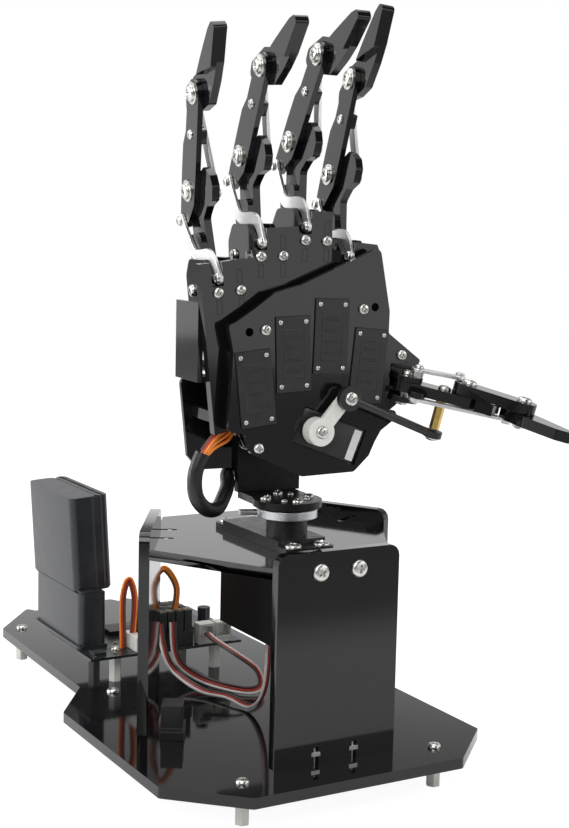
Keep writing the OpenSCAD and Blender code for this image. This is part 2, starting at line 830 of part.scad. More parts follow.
module rear_box() {
  color([0.1, 0.1, 0.11])
    hand() {
      translate([-57.5, m1_back, 220])
        cube([3, 32, 42]);
      translate([-57.5, m1_back, 220])
        cube([9.5, 32, 3]);
      difference() {
        ply_y(stem_y + stem_t, stem_y + stem_t + 3)
          polygon(rp([[-51.5, 218.3, 3], [-46.8, 174.7, 3], [-40.1, 166.5, 3], [30, 166.5, 3], [40, 179.3, 3], [40, 218.3, 3]]));
        for (x = [-9, 9])
          pin_y(wrist_l[0] + x, 198, stem_y, stem_y + 12, 1.6);
      }
      translate([-45, m1_back, 197])
        cube([4, stem_y + stem_t - m1_back, 6]);
    }
}
module hand_cables() {
  color([0.95, 0.45, 0.1])
    hand()
      for (i = [0:2])
        cable(route([[-35.5, -17.5 + i * 2.6, 196], [-39, -17.5 + i * 2.6, 192.8], [-47, -18.4 + i * 1.6, 188],
          [-53, -19 + i, 182]], 1), 1.3);
  color([0.05, 0.05, 0.05])
    hand()
      cable(route([[-53, -18, 182], [-57, -18, 171], [-56, -17, 159], [-49, -14, 151],
        [-40, -8, 149.5], [-31, 4, 153.5], [-22.3, 15.5, 160]], 2), 4.2, 10);
}

// ---------- fingers, every piece in its own pivot frame ----------
module proximal(k) {
  l = prox_len;
  body = rp([[-8.7, -5, 5], [0, -8.9, 5], [9, -7.6, 3], [14, -6, 2], [14.3, -2, 2], [8.7, 3, 3],
    [8.7, l - 0.5, 6], [5, l + 8.5, 6], [-5, l + 8.7, 5], [-8.7, l + 6.5, 3], [-19, l + 9.6, 2], [-25.5, l + 4, 2],
    [-27, l - 2, 2], [-24, l - 9, 2], [-16, l - 11, 3], [-8.7, l - 16.5, 4]]);
  color(black)
    pf(k) {
      difference() {
        ply_u(0.35, 4.7)
          polygon(body);
        pin_u([0, 0], -1, 6, pin_r + run_c);
        pin_u([0, prox_len], -1, 6, pin_r + run_c);
      }
      // cheek ply on the link side
      ply_u(-2.8, 0.36)
        polygon(rp([[-8.7, 10, 2], [8.7, 9, 2], [8.7, 30.2, 1], [-8.7, 30.2, 4]]));
    }
  color(steel)
    pf(k) {
      pin_u([lug[0], prox_len + lug[1]], 4.6, 6.8, 1.5);
      pin_u([lug[0], prox_len + lug[1]], 6.8, 8.2, 2.6);
    }
}
module middle(k) {
  l = mid_len;
  color(black)
    mf(k)
      difference() {
        ply_u(-2.8, 0.2)
          polygon(rp([[-0.5, -21.5, 3], [7.8, -22.3, 3.4], [8.6, -12, 3], [9.6, 8, 4], [9.8, 23, 3],
            [7, 31, 3], [7, l + 1, 6], [3, l + 7.2, 5], [-4, l + 7.2, 5], [-7.5, l, 5], [-9, 12, 6], [-9, -5, 4]]));
      }
  color(black)
    mf(k)
      ply_u(0.2, 3.2)
        polygon(rp([[-7.6, l / 2 + 1, 1], [3.4, l / 2 + 1, 1], [3.4, l / 2 + 9, 1], [-7.8, l / 2 + 9, 1]]));
  color(steel)
    mf(k) {
      pivot_screw([0, 0]);
      pivot_screw([0, mid_len]);
      pin_u([0, l / 2 + 4.5], -4.2, -2.7, 2.7);
    }
}
// flanged pivot screw with a nut behind
module pivot_screw(p) {
  pin_u(p, -3.8, -2.8, 6);
  pin_u(p, -6, -3.8, 5);
  pin_u(p, -2.9, 7.2, pin_r);
  pin_u(p, 4.8, 7.2, 3.6, 6);
}
module fingertip(k) {
  dorsal = [[0.5, 10.8], [-0.3, 20.6], [-1.6, 31.4], [-2.9, 40.6], [-5, tip_len - 0.8, 2]];
  core = concat([[-14.3, 2.3, 2], [-8, -6, 4], [0, -12, 4], [3.5, -17.5, 3], [9, -19, 3.5], [13, -13, 3.5],
    [9, 4, 5], [4, 10, 2]], dorsal, [[-9.4, tip_len - 1.2, 2], [-11.3, 37.6, 2], [-13.8, 27.4, 2], [-14.8, 16.7, 2]]);
  pad = concat(dorsal, [[-9.4, tip_len - 1.2, 2], [-11.3, 37.6, 2], [-14.2, 25, 1], [-10.9, 21.9, 1], [-5.4, 17, 1]]);
  color(black)
    df(k)
      difference() {
        union() {
          ply_u(0.35, 4.7)
            polygon(rp(core));
          ply_u(-2.8, 0.36)
            polygon(rp(pad));
        }
        pin_u([0, 0], -4, 6, pin_r + run_c);
      }
}
module s_link(k) {
  pts = [[0, 0], [4, 7.5], [11, 12], [23, 11.5], [31, 12.5], [38, 20.5], [45.42, 30.48]];
  color(silver)
    ff(k)
      translate([0, gnd[0], gnd[1]])
        rotate([sang(al[k]) - 33.8, 0, 0]) {
          difference() {
            ply_u(-s_out, -s_in)
              union() {
                polygon(band(route(pts, 4), s_w));
                circle(r = 3.5);
                translate([45.42, 30.48])
                  circle(r = 3.9);
              }
            pin_u([0, 0], -6, 0, 1.6 + run_c);
          }
          pin_u([45.42, 30.48], -s_out - 2, -s_out, 2.7);
        }
}
module tip_link(k) {
  color(silver)
    pf(k)
      translate([0, lug[0], prox_len + lug[1]])
        rotate([tlang(al[k]), 0, 0]) {
          difference() {
            ply_u(4.95, 6.75)
              union() {
                strip([[0, 0], [link_l, 0]], link_w);
                circle(r = 3.4);
                translate([link_l, 0])
                  circle(r = 3.4);
              }
            pin_u([0, 0], 4, 8, 1.5 + run_c);
          }
          pin_u([link_l, 0], 6.75, 8.2, 2.6);
        }
}
horn_r = 12;
module finger_horn(k) {
  color(white)
    hand()
      servo_at(k)
        difference() {
          union() {
            pin_y(0, 10, 1.5, 7.5, 4.6);
            ply_y(4.5, 7.5)
              translate([0, 10])
                strip([[0, 0], [-horn_r, 0]], 5.4);
            pin_y(-horn_r, 10, 4.5, 7.5, 2.9);
          }
          pin_y(0, 10, 0, 3.3, 2.9 + run_c);
          pin_y(-horn_r, 10, 4, 8, 1.2);
        }
}
// rod from the horn tip to the tail of the proximal bone
module pull_rod(k) {
  s = servo_uw(k);
  t = rot2([10.8, -4], al[k]) + [mcp_y, 0];
  a = [s[0] - horn_r, 9.2, s[1] + 10];
  b = [-1.3, t[0], t[1]];
  color(steel)
    ff(k) {
      pin_y(a[0], a[2], 7.8, 10.6, 2.8);
      pin_u([b[1], b[2]], -2.75, -0.15, 3.2);
      rod(a, b, 1.3);
    }
}
function servo_uw(k) = rot2([sv[k][0] - fx[k], sv[k][1] - fz[k]], -fs[k]);

// ---------- thumb ----------
tq1 = 30;
tq2 = 20;
tq3 = 22;
module t1f() {
  tf()
    rotate([0, 0, -tq1])
      children();
}
module t2f() {
  t1f()
    translate([th1, 0, 0])
      rotate([0, 0, -tq2])
        children();
}
module t3f() {
  t2f()
    translate([th2, 0, 0])
      rotate([0, 0, -tq3])
        children();
}
arm_l = 23.5;
arm_a = 49.3;
function horn_tip() = [th_ax[0] + arm_l * cos(arm_a), th_ax[1] + arm_l * sin(arm_a)];
module thumb_horn() {
  h = horn_tip();
  color(white)
    hand()
      difference() {
        union() {
          pin_y(th_ax[0], th_ax[1], -45, -36.7, 7.5);
          ply_y(-43.5, -40.5)
            strip([th_ax, h], 8);
          pin_y(h[0], h[1], -43.5, -40.5, 4.6);
        }
        pin_y(th_ax[0], th_ax[1], -38.1, -36, 2.9 + run_c);
      }
  color(steel)
    hand()
      pin_y(th_ax[0], th_ax[1], -46.6, -45, 3.4);
}
// low end of the pull post in the wrist frame
function rx(v, t) = [v[0], v[1] * cos(t) - v[2] * sin(t), v[1] * sin(t) + v[2] * cos(t)];
function ry(v, t) = [v[0] * cos(t) + v[2] * sin(t), v[1], v[2] * cos(t) - v[0] * sin(t)];
function t_pt(x, y, z) = [59, -36, 217.5] + rx(ry([x * cos(tq1) + y * sin(tq1),
  y * cos(tq1) - x * sin(tq1), z], 9), 10);
module thumb_rod() {
  h = horn_tip();
  a = [h[0], -46.5, h[1]];
  b = t_pt(post_x, 0, -23);
  color(black)
    hand() {
      pin_y(h[0], h[1], -48, -44.2, 6.6);
      pin_y(h[0], h[1], -44.3, -43.9, 2);
      rod(a + 0.06 * (b - a), b - 0.05 * (b - a), 2.3);
    }
  color(black)
    t1f()
      union() {
        translate([post_x, 0, -24.4])
          cylinder(r = 5.2, h = 3.6);
        translate([post_x, 0, -21])
          cylinder(r = 2, h = 0.7);
      }
  color(steel) {
    hand()
      pin_y(h[0], h[1], -50, -48, 3.75);
    t1f()
      translate([post_x, 0, -27])
        cylinder(r = 3.4, h = 2.6);
  }
}
module thumb_post() {
  color([0.8, 0.62, 0.25])
    t1f()
      translate([post_x, 0, -19.8])
        cylinder(r = 3, h = 16.8, $fn = 6);
}
module thumb_proximal() {
  color(black)
    t1f()
      difference() {
        flat(-3, 3)
          polygon(rp([[-6.5, -6.5, 5], [th1 + 7, -7, 6.5], [th1 + 7, 7, 6.5], [-6.5, 6.5, 5]]));
        translate([0, 0, -4])
          cylinder(r = pin_r + run_c, h = 8);
        translate([th1, 0, -4])
          cylinder(r = pin_r + run_c, h = 8);
      }
  color(steel)
    t1f() {
      translate([post_x, 0, 3])
        cylinder(r = 3.6, h = 2.2);
      translate([t_lug[0], t_lug[1], -5.2])
        cylinder(r = 1.5, h = 2.3, $fn = 24);
      translate([t_lug[0], t_lug[1], -6.6])
        cylinder(r = 2.6, h = 1.4, $fn = 24);
    }
  color(black)
    t1f()
      flat(-3, 0)
        polygon(rp([[2, -5], [13, -5], [10, -15.4, 3], [2.4, -15.4, 3]]));
}
module thumb_middle() {
  color(black)
    t2f() {
      flat(3.2, 9.2)
        polygon(rp([[-8, -7, 5], [th2 + 7, -6.5, 6], [th2 + 7, 6.5, 6], [-8, 7, 5]]));
      difference() {
        flat(-3, 3.3)
          polygon(rp([[6, -6.8, 1], [22.5, -6.7, 1], [22.5, 6.7, 1], [6, 6.8, 1]]));
        translate([0, 0, -5])
          cylinder(r = 10.2, h = 9);
        translate([th2, 0, -5])
          cylinder(r = 15.6, h = 9);
      }
    }
  color(steel)
    t2f()
      for (x = [0, th2]) {
        translate([x, 0, -5.6])
          cylinder(r = pin_r, h = 17);
        translate([x, 0, 9.2])
          cylinder(r = 4.2, h = 2.4);
        translate([x, 0, -5.6])
          cylinder(r = 3.2, h = 2.4, $fn = 6);
      }
}
module thumb_tip() {
  color(black)
    t3f()
      difference() {
        flat(-3, 3)
          polygon(rp([[-7.5, -7, 6], [8, -8, 3], [th3 - 6, -5, 3], [th3, -1, 2], [th3, 4, 2], [8, 7.5, 3],
            [-6, 7.5, 3], [-13.5, 6.5, 3], [-14, -1, 3], [-9, -3.5, 2]]));
        translate([0, 0, -4])
          cylinder(r = pin_r + run_c, h = 8);
      }
}
// upper link, from the palm bracket to the second bone
tl_g = [3, -4.5];
tt_q = [-10, 2.5];
t_lug = [6, -12];
tl_q = [-7.5, 3.5];
function t1g(p) = rot2(p, tq1);
function t2in1(p) = rot2(p, -tq2) + [th1, 0];
module thumb_link() {
  q = rot2(t2in1(tl_q), -tq1);
  color(silver)
    tf()
      difference() {
        union() {
          flat(9.5, 11.3) {
            strip([tl_g, q], 6.4);
            translate(tl_g)
              circle(r = 4);
            translate(q)
              circle(r = 3.6);
          }
          translate([q[0], q[1], 11.3])
            cylinder(r = 2.8, h = 1.8);
        }
        translate([tl_g[0], tl_g[1], 9])
          cylinder(r = 1.6 + run_c, h = 3, $fn = 24);
      }
}
module thumb_tip_link() {
  t = rot2(tt_q, -tq3) + [th2, 0];
  q = t2in1(t);
  color(silver)
    t1f()
      difference() {
        flat(-5.1, -3.3) {
          strip([t_lug, q], 5.6);
          translate(t_lug)
            circle(r = 3.4);
          translate(q)
            circle(r = 3.4);
        }
        translate([t_lug[0], t_lug[1], -7])
          cylinder(r = 1.5 + run_c, h = 5, $fn = 24);
      }
  color(steel)
    t1f()
      translate([q[0], q[1], -6.6])
        cylinder(r = 2.6, h = 1.5, $fn = 24);
}

base_plate();
nylon_pillars();
base_screws();
panel(0);  // front_panel
panel(2);  // left_panel
panel(1);  // rear_panel
top_plate();
wrist_servo();
controller_board();
board_headers();
board_connectors();
receiver();
servo_cables();
wrist_horn();
turntable();
stem_bracket();
palm_plate();
front_plate();
finger_servos();
thumb_servo();
palm_hardware();
pivot_ears();
rear_box();
hand_cables();
proximal(0);  // proximal_1
proximal(1);  // proximal_2
proximal(2);  // proximal_3
proximal(3);  // proximal_4
middle(0);  // middle_1
middle(1);  // middle_2
middle(2);  // middle_3
middle(3);  // middle_4
fingertip(0);  // fingertip_1
fingertip(1);  // fingertip_2
fingertip(2);  // fingertip_3
fingertip(3);  // fingertip_4
s_link(0);  // s_link_1
s_link(1);  // s_link_2
s_link(2);  // s_link_3
s_link(3);  // s_link_4
tip_link(0);  // tip_link_1
tip_link(1);  // tip_link_2
tip_link(2);  // tip_link_3
tip_link(3);  // tip_link_4
finger_horn(0);  // finger_horn_1
finger_horn(1);  // finger_horn_2
finger_horn(2);  // finger_horn_3
finger_horn(3);  // finger_horn_4
pull_rod(0);  // pull_rod_1
pull_rod(1);  // pull_rod_2
pull_rod(2);  // pull_rod_3
pull_rod(3);  // pull_rod_4
thumb_horn();
thumb_rod();
thumb_proximal();
thumb_post();
thumb_middle();
thumb_tip();
thumb_link();
thumb_tip_link();
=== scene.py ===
"""Desktop robot hand on a three-sided tower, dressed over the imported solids. Metres."""
import json
import math

import bmesh
import bpy
from mathutils import Matrix, Vector


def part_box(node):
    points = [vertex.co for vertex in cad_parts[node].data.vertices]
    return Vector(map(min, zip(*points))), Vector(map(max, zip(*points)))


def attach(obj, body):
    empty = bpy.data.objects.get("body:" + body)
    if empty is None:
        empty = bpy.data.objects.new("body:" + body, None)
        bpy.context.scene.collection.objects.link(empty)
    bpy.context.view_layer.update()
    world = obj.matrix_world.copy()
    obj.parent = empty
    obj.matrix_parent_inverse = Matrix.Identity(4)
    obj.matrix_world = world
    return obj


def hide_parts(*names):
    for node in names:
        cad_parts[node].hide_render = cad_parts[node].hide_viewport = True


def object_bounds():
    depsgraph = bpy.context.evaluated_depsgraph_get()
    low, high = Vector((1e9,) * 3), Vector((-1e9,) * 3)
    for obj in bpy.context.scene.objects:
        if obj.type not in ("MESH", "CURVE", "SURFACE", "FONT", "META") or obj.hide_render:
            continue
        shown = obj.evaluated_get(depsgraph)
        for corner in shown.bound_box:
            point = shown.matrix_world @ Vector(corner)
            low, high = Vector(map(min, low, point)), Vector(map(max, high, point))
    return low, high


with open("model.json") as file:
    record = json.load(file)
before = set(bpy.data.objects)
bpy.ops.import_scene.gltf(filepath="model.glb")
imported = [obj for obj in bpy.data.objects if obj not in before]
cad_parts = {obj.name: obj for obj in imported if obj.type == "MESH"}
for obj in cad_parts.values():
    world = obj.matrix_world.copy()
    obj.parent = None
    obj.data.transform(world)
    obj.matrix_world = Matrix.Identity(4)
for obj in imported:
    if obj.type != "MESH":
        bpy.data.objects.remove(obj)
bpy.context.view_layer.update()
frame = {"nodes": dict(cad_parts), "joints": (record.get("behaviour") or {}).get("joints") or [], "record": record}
nodes = frame["nodes"]

# ---- Cut acrylic sheet ------------------------------------------------------
# Base, tower panels, top plate, palm plates, ears and side wall: gloss black
# cast acrylic, laser cut, so faces are mirror smooth with faint handling
# marks and the cut edges are slightly rounded by the beam.


def finish(name, colour, rough, metal=0.0, mottle=0.2, stretch=(1, 1, 1), scale=60.0,
           spread=0.04, bump=0.05, fine=900.0):
    """A surface with a clouded tone, an uneven gloss and a fine grain, whose scale is fine."""
    material = bpy.data.materials.new(name)
    material.use_nodes = True
    tree = material.node_tree
    shader = tree.nodes["Principled BSDF"]
    shader.inputs["Metallic"].default_value = metal
    place = tree.nodes.new("ShaderNodeTexCoord")
    turn = tree.nodes.new("ShaderNodeMapping")
    turn.inputs["Scale"].default_value = stretch
    tree.links.new(place.outputs["Object"], turn.inputs["Vector"])
    cloud = tree.nodes.new("ShaderNodeTexNoise")
    cloud.inputs["Scale"].default_value = scale
    cloud.inputs["Detail"].default_value = 5.0
    grit = tree.nodes.new("ShaderNodeTexNoise")
    grit.inputs["Scale"].default_value = fine
    grit.inputs["Detail"].default_value = 3.0
    for texture in (cloud, grit):
        tree.links.new(turn.outputs["Vector"], texture.inputs["Vector"])
    tone = tree.nodes.new("ShaderNodeValToRGB")
    tone.color_ramp.elements[0].position = 0.3
    tone.color_ramp.elements[1].position = 0.72
    tone.color_ramp.elements[0].color = [c * (1 - mottle) for c in colour] + [1]
    tone.color_ramp.elements[1].color = [min(1.0, c * (1 + mottle)) for c in colour] + [1]
    tree.links.new(cloud.outputs["Fac"], tone.inputs["Fac"])
    tree.links.new(tone.outputs["Color"], shader.inputs["Base Color"])
    gloss = tree.nodes.new("ShaderNodeMapRange")
    gloss.inputs["From Min"].default_value = 0.3
    gloss.inputs["From Max"].default_value = 0.7
    gloss.inputs["To Min"].default_value = max(0.02, rough - spread)
    gloss.inputs["To Max"].default_value = rough + spread
    blend = tree.nodes.new("ShaderNodeMath")
    blend.operation = "MULTIPLY_ADD"
    blend.inputs[1].default_value = 0.35
    tree.links.new(grit.outputs["Fac"], blend.inputs[0])
    scaled = tree.nodes.new("ShaderNodeMath")
    scaled.operation = "MULTIPLY"
    scaled.inputs[1].default_value = 0.65
    tree.links.new(cloud.outputs["Fac"], scaled.inputs[0])
    tree.links.new(scaled.outputs[0], blend.inputs[2])
    tree.links.new(blend.outputs[0], gloss.inputs["Value"])
    tree.links.new(gloss.outputs["Result"], shader.inputs["Roughness"])
    relief = tree.nodes.new("ShaderNodeBump")
    relief.inputs["Strength"].default_value = bump
    relief.inputs["Distance"].default_value = 0.0004
    tree.links.new(grit.outputs["Fac"], relief.inputs["Height"])
    tree.links.new(relief.outputs["Normal"], shader.inputs["Normal"])
    return material


def settled(piece):
    """The piece with its modifiers worked into its mesh."""
    seen = piece.evaluated_get(bpy.context.evaluated_depsgraph_get())
    mesh = bpy.data.meshes.new_from_object(seen)
    piece.modifiers.clear()
    piece.data = mesh


def new_piece(name, mesh, *materials):
    piece = bpy.data.objects.new(name, mesh)
    bpy.context.scene.collection.objects.link(piece)
    for material in materials:
        mesh.materials.append(material)
    return piece


def body_of(node):
    """The moving body that a solid belongs to."""
    for body, members in frame["record"]["behaviour"]["bodies"].items():
        if node in members:
            return body


def eased(node, material, width, drop=(), weld=0.002, moved=(), crease=32):
    """A copy of a solid with its edges broken by width, in mm.

    drop: faces left out, each (point, way, radius, low, high) with the last three in mm.
    moved: corners that are shifted, each (corner, way along the edge, shift).
    """
    shape = bmesh.new()
    shape.from_mesh(nodes[node].data)
    bmesh.ops.remove_doubles(shape, verts=shape.verts, dist=weld / 1000)
    for corner, way, shift in moved:
        for vert in shape.verts:
            off = vert.co - corner
            if (off - way * off.dot(way)).length < 0.0006:
                vert.co += shift
    gone = set()
    for point, way, radius, low, high in drop:
        for face in shape.faces:
            inside = True
            for vert in face.verts:
                off = vert.co - point
                up = off.dot(way)
                side = (off - way * up).length
                if side > radius / 1000 or up < low / 1000 or up > high / 1000:
                    inside = False
                    break
            if inside:
                gone.add(face)
    bmesh.ops.delete(shape, geom=list(gone), context="FACES")
    bmesh.ops.dissolve_limit(shape, angle_limit=0.004, verts=shape.verts, edges=shape.edges)
    mesh = bpy.data.meshes.new(node + "_cut")
    shape.to_mesh(mesh)
    shape.free()
    for polygon in mesh.polygons:
        polygon.use_smooth = True
    mesh.set_sharp_from_angle(angle=math.radians(crease))
    mesh.materials.clear()
    piece = new_piece(node + "_cut", mesh, material)
    edge = piece.modifiers.new("edge", "BEVEL")
    edge.width = width / 1000
    edge.segments = 2
    edge.limit_method = "ANGLE"
    edge.angle_limit = math.radians(40)
    edge.harden_normals = True
    settled(piece)
    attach(piece, body_of(node))
    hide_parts(node)


acrylic = finish("gloss_black_acrylic", (0.0055, 0.0055, 0.0062), 0.075, scale=9.0, spread=0.035,
                 bump=0.012, fine=260.0, mottle=0.3)
palm_angle = -4.65
palm_turn = Matrix.Rotation(math.radians(palm_angle), 3, "Z")
OUT = palm_turn @ Vector((0, -1, 0))


def palm(x, y, z):
    """A place on the palm, from its own axes in mm."""
    return palm_turn @ Vector((x / 1000, y / 1000, z / 1000))


laser_edge = 0.3
for node in ("base_plate", "front_panel", "left_panel", "rear_panel", "top_plate", "palm_plate",
             "pivot_ears", "rear_box"):
    eased(node, acrylic, laser_edge)
# the sharp corner under the thumb's notch is blunted
eased("front_plate", acrylic, laser_edge,
      moved=[(palm(60.5, 0, 203.5), OUT, palm(-7.5, 0, 0)),
             (palm(59.4, 0, 202.3), OUT, palm(-4.9, 0, -1.2))])

# ---- Screws, bolts and nuts -------------------------------------------------
# Nickel-plated pan-head screws with a cross recess, pressed and rolled, and
# turned hex nuts. The shanks come from the solids, and one tree for each kind
# lays the heads on their seats.
steel = finish("nickel_plated_steel", (0.66, 0.65, 0.62), 0.3, metal=1.0, scale=300.0, spread=0.08,
               bump=0.08, mottle=0.12)


def turned(rings, around, closed_top=False):
    """A lathe-turned form from (radius, height) rings in metres."""
    shape = bmesh.new()
    loops = []
    for radius, height in rings:
        loops.append([shape.verts.new((radius * math.cos(a), radius * math.sin(a), height))
                      for a in (2 * math.pi * i / around for i in range(around))])
    for low, high in zip(loops, loops[1:]):
        for i in range(around):
            shape.faces.new((low[i], low[(i + 1) % around], high[(i + 1) % around], high[i]))
    shape.faces.new(list(reversed(loops[0])))
    if closed_top:
        shape.faces.new(loops[-1])
    return shape, loops


def made(shape, name, angle=40):
    """The worked mesh, smooth but for edges sharper than angle."""
    bmesh.ops.recalc_face_normals(shape, faces=shape.faces)
    mesh = bpy.data.meshes.new(name)
    shape.to_mesh(mesh)
    shape.free()
    for polygon in mesh.polygons:
        polygon.use_smooth = True
    mesh.set_sharp_from_angle(angle=math.radians(angle))
    return mesh


def cross_head(name, r, h, flange=0.0):
    """A domed head with a cross recess, on a thin flange if it has one. Millimetres in, metres out."""
    rings = []
    if flange:
        rings += [(flange, 0), (flange, 0.8), (flange * 0.96, 1.0), (r, 1.0)]
    base = 1.0 if flange else 0.0
    rings += [(r, base + 0.02), (r, base + 0.3 * h), (0.94 * r, base + 0.6 * h),
              (0.8 * r, base + 0.85 * h), (0.62 * r, base + 0.96 * h)]
    rings = [(a / 1000, b / 1000) for a, b in rings]
    shape, loops = turned(rings, 24)
    a, w, top = 0.5 * r / 1000, 0.14 * r / 1000, (base + h) / 1000
    plan = [(w, a), (-w, a), (-w, w), (-a, w), (-a, -w), (-w, -w),
            (-w, -a), (w, -a), (w, -w), (a, -w), (a, w), (w, w)]
    rim = [shape.verts.new((x, y, top)) for x, y in plan]
    floor = [shape.verts.new((x * 0.7, y * 0.7, top - 0.6 * h / 1000)) for x, y in plan]
    for i in range(12):
        j = (i + 1) % 12
        shape.faces.new((rim[i], rim[j], floor[j], floor[i]))
    shape.faces.new(floor)
    edges = [e for e in shape.edges if e.is_boundary and all(v in rim or v in loops[-1] for v in e.verts)]
    bmesh.ops.triangle_fill(shape, use_beauty=True, edges=edges)
    return made(shape, name)


def hex_nut(name, r, h, bolt):
    """A hex nut with chamfered corners and the bolt's end standing in it."""
    shape = bmesh.new()
    rows = []
    for radius, height in ((r, 0), (r, 0.86 * h), (0.9 * r, h)):
        rows.append([shape.verts.new(Vector((radius * math.cos(a), radius * math.sin(a), height)) / 1000)
                     for a in (2 * math.pi * i / 6 for i in range(6))])
    for low, high in zip(rows, rows[1:]):
        for i in range(6):
            shape.faces.new((low[i], low[(i + 1) % 6], high[(i + 1) % 6], high[i]))
    shape.faces.new(list(reversed(rows[0])))
    shape.faces.new(rows[-1])
    end, _ = turned([(bolt / 1000, 0.5 * h / 1000), (bolt / 1000, (h + 0.35) / 1000),
                     (0.7 * bolt / 1000, (h + 0.6) / 1000)], 16, closed_top=True)
    joined = bpy.data.meshes.new("bolt_end")
    end.to_mesh(joined)
    end.free()
    shape.from_mesh(joined)
    bpy.data.meshes.remove(joined)
    return made(shape, name, 25)


def fasten(name, pattern, places, body):
    """One mesh of a repeated steel piece on its seats: each place is (point, outward way, turn)."""
    seats = bpy.data.meshes.new(name + "_seats")
    seats.from_pydata([tuple(p[0]) for p in places], [], [])
    way = seats.attributes.new("way", "FLOAT_VECTOR", "POINT")
    for i, place in enumerate(places):
        way.data[i].vector = place[1]
    turn = seats.attributes.new("turn", "FLOAT", "POINT")
    for i, place in enumerate(places):
        turn.data[i].value = place[2]
    piece = new_piece(name, seats)
    source = new_piece(name + "_pattern", pattern, steel)
    tree = bpy.data.node_groups.new(name, "GeometryNodeTree")
    tree.interface.new_socket("Geometry", in_out="INPUT", socket_type="NodeSocketGeometry")
    size = tree.interface.new_socket("Head Size", in_out="INPUT", socket_type="NodeSocketFloat")
    tree.interface.new_socket("Geometry", in_out="OUTPUT", socket_type="NodeSocketGeometry")
    make = tree.nodes.new
    enter, leave = make("NodeGroupInput"), make("NodeGroupOutput")
    shape = make("GeometryNodeObjectInfo")
    shape.inputs["Object"].default_value = source
    aim = make("FunctionNodeAlignRotationToVector")
    aim.axis = "Z"
    facing = make("GeometryNodeInputNamedAttribute")
    facing.data_type = "FLOAT_VECTOR"
    facing.inputs["Name"].default_value = "way"
    spin = make("GeometryNodeInputNamedAttribute")
    spin.data_type = "FLOAT"
    spin.inputs["Name"].default_value = "turn"
    about = make("FunctionNodeAxisAngleToRotation")
    about.inputs["Axis"].default_value = (0, 0, 1)
    both = make("FunctionNodeRotateRotation")
    both.rotation_space = "LOCAL"
    put = make("GeometryNodeInstanceOnPoints")
    real = make("GeometryNodeRealizeInstances")
    paint = make("GeometryNodeSetMaterial")
    paint.inputs["Material"].default_value = steel
    join = tree.links.new
    join(facing.outputs["Attribute"], aim.inputs["Vector"])
    join(spin.outputs["Attribute"], about.inputs["Angle"])
    join(aim.outputs["Rotation"], both.inputs["Rotation"])
    join(about.outputs["Rotation"], both.inputs["Rotate By"])
    join(enter.outputs["Geometry"], put.inputs["Points"])
    join(shape.outputs["Geometry"], put.inputs["Instance"])
    join(both.outputs["Rotation"], put.inputs["Rotation"])
    join(enter.outputs["Head Size"], put.inputs["Scale"])
    join(put.outputs["Instances"], real.inputs["Geometry"])
    join(real.outputs["Geometry"], paint.inputs["Geometry"])
    join(paint.outputs["Geometry"], leave.inputs["Geometry"])
    step = piece.modifiers.new("lay", "NODES")
    step.node_group = tree
    step[size.identifier] = 1.0
    settled(piece)
    bpy.data.objects.remove(source)
    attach(piece, body)


UP = Vector((0, 0, 1))
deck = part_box("base_plate")[1].z
foot_seats = [Vector((x, y, deck * 1000)) / 1000 for x in (-59.5, 59.5) for y in (-74.7, 90.5, 248.6)]
bolt_z = (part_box("top_plate")[0].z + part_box("top_plate")[1].z) / 2
panel_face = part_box("front_panel")[0].y
tower_seats = []
for a, dx, dy in ((0, 0, 0), (120, 9.8, 15.9), (240, -1.1, 12.3)):
    facing = Matrix.Rotation(math.radians(a), 3, "Z")
    for x in (-11.8, 11.8):
        seat = facing @ Vector((x / 1000, panel_face, bolt_z)) + Vector((dx, dy, 0)) / 1000
        tower_seats.append((seat, facing @ Vector((0, -1, 0))))
board_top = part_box("controller_board")[1].z
board_bolts = ((-48.8, 111.9), (-42.5, 160), (20, 111.9), (20, 160))
board_seats = [Vector((x / 1000, y / 1000, board_top)) for x, y in board_bolts]
eased("base_screws", steel, 0.15,
      [(p, UP, 3.8, -0.02, 3) for p in foot_seats] + [(p, UP, 3.1, -0.02, 3) for p in board_seats]
      + [(p, w, 4.9, -0.02, 3) for p, w in tower_seats])
fasten("foot_screw_heads", cross_head("foot_head", 3.7, 2.3),
       [(p, UP, i * 0.7) for i, p in enumerate(foot_seats)], "tower")
fasten("tower_screw_heads", cross_head("tower_head", 4.8, 2.2),
       [(p, w, 0.5 + i) for i, (p, w) in enumerate(tower_seats)], "tower")
fasten("board_screw_heads", cross_head("board_head", 3.0, 1.9),
       [(p, UP, i * 0.9) for i, p in enumerate(board_seats)], "tower")

# ---- Nylon pillars ----------------------------------------------------------
# White moulded hex pillars: six feet under the base and four under the board.
nylon = finish("white_nylon", (0.78, 0.78, 0.74), 0.42, scale=120.0, spread=0.06, bump=0.06,
               mottle=0.06)
eased("nylon_pillars", nylon, 0.35)

# ---- Wrist servo ------------------------------------------------------------
# Black moulded servo sunk through the top plate, held by its flange with four
# truss screws, with a round boss round the output.
servo_skin = finish("moulded_servo_case", (0.013, 0.013, 0.014), 0.34, scale=180.0, spread=0.07, bump=0.16,
                    fine=1600.0, mottle=0.25)
ear_thick = 0.003
ear_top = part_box("top_plate")[1].z + ear_thick
wrist_seats = [Vector((x / 1000, y / 1000, ear_top)) for x in (-8.4, 9.2) for y in (-33, 43.4)]
eased("wrist_servo", servo_skin, 0.5, [(p, UP, 4.4, -0.02, 3) for p in wrist_seats])
fasten("wrist_screw_heads", cross_head("truss_head", 4.6, 2.1),
       [(p, UP, 0.4 + i) for i, p in enumerate(wrist_seats)], "tower")

# ---- Controller board -------------------------------------------------------
# A black four-layer board with surface parts, gold pads and traces under the
# mask, black servo sockets in rows and white connectors along the near edge.


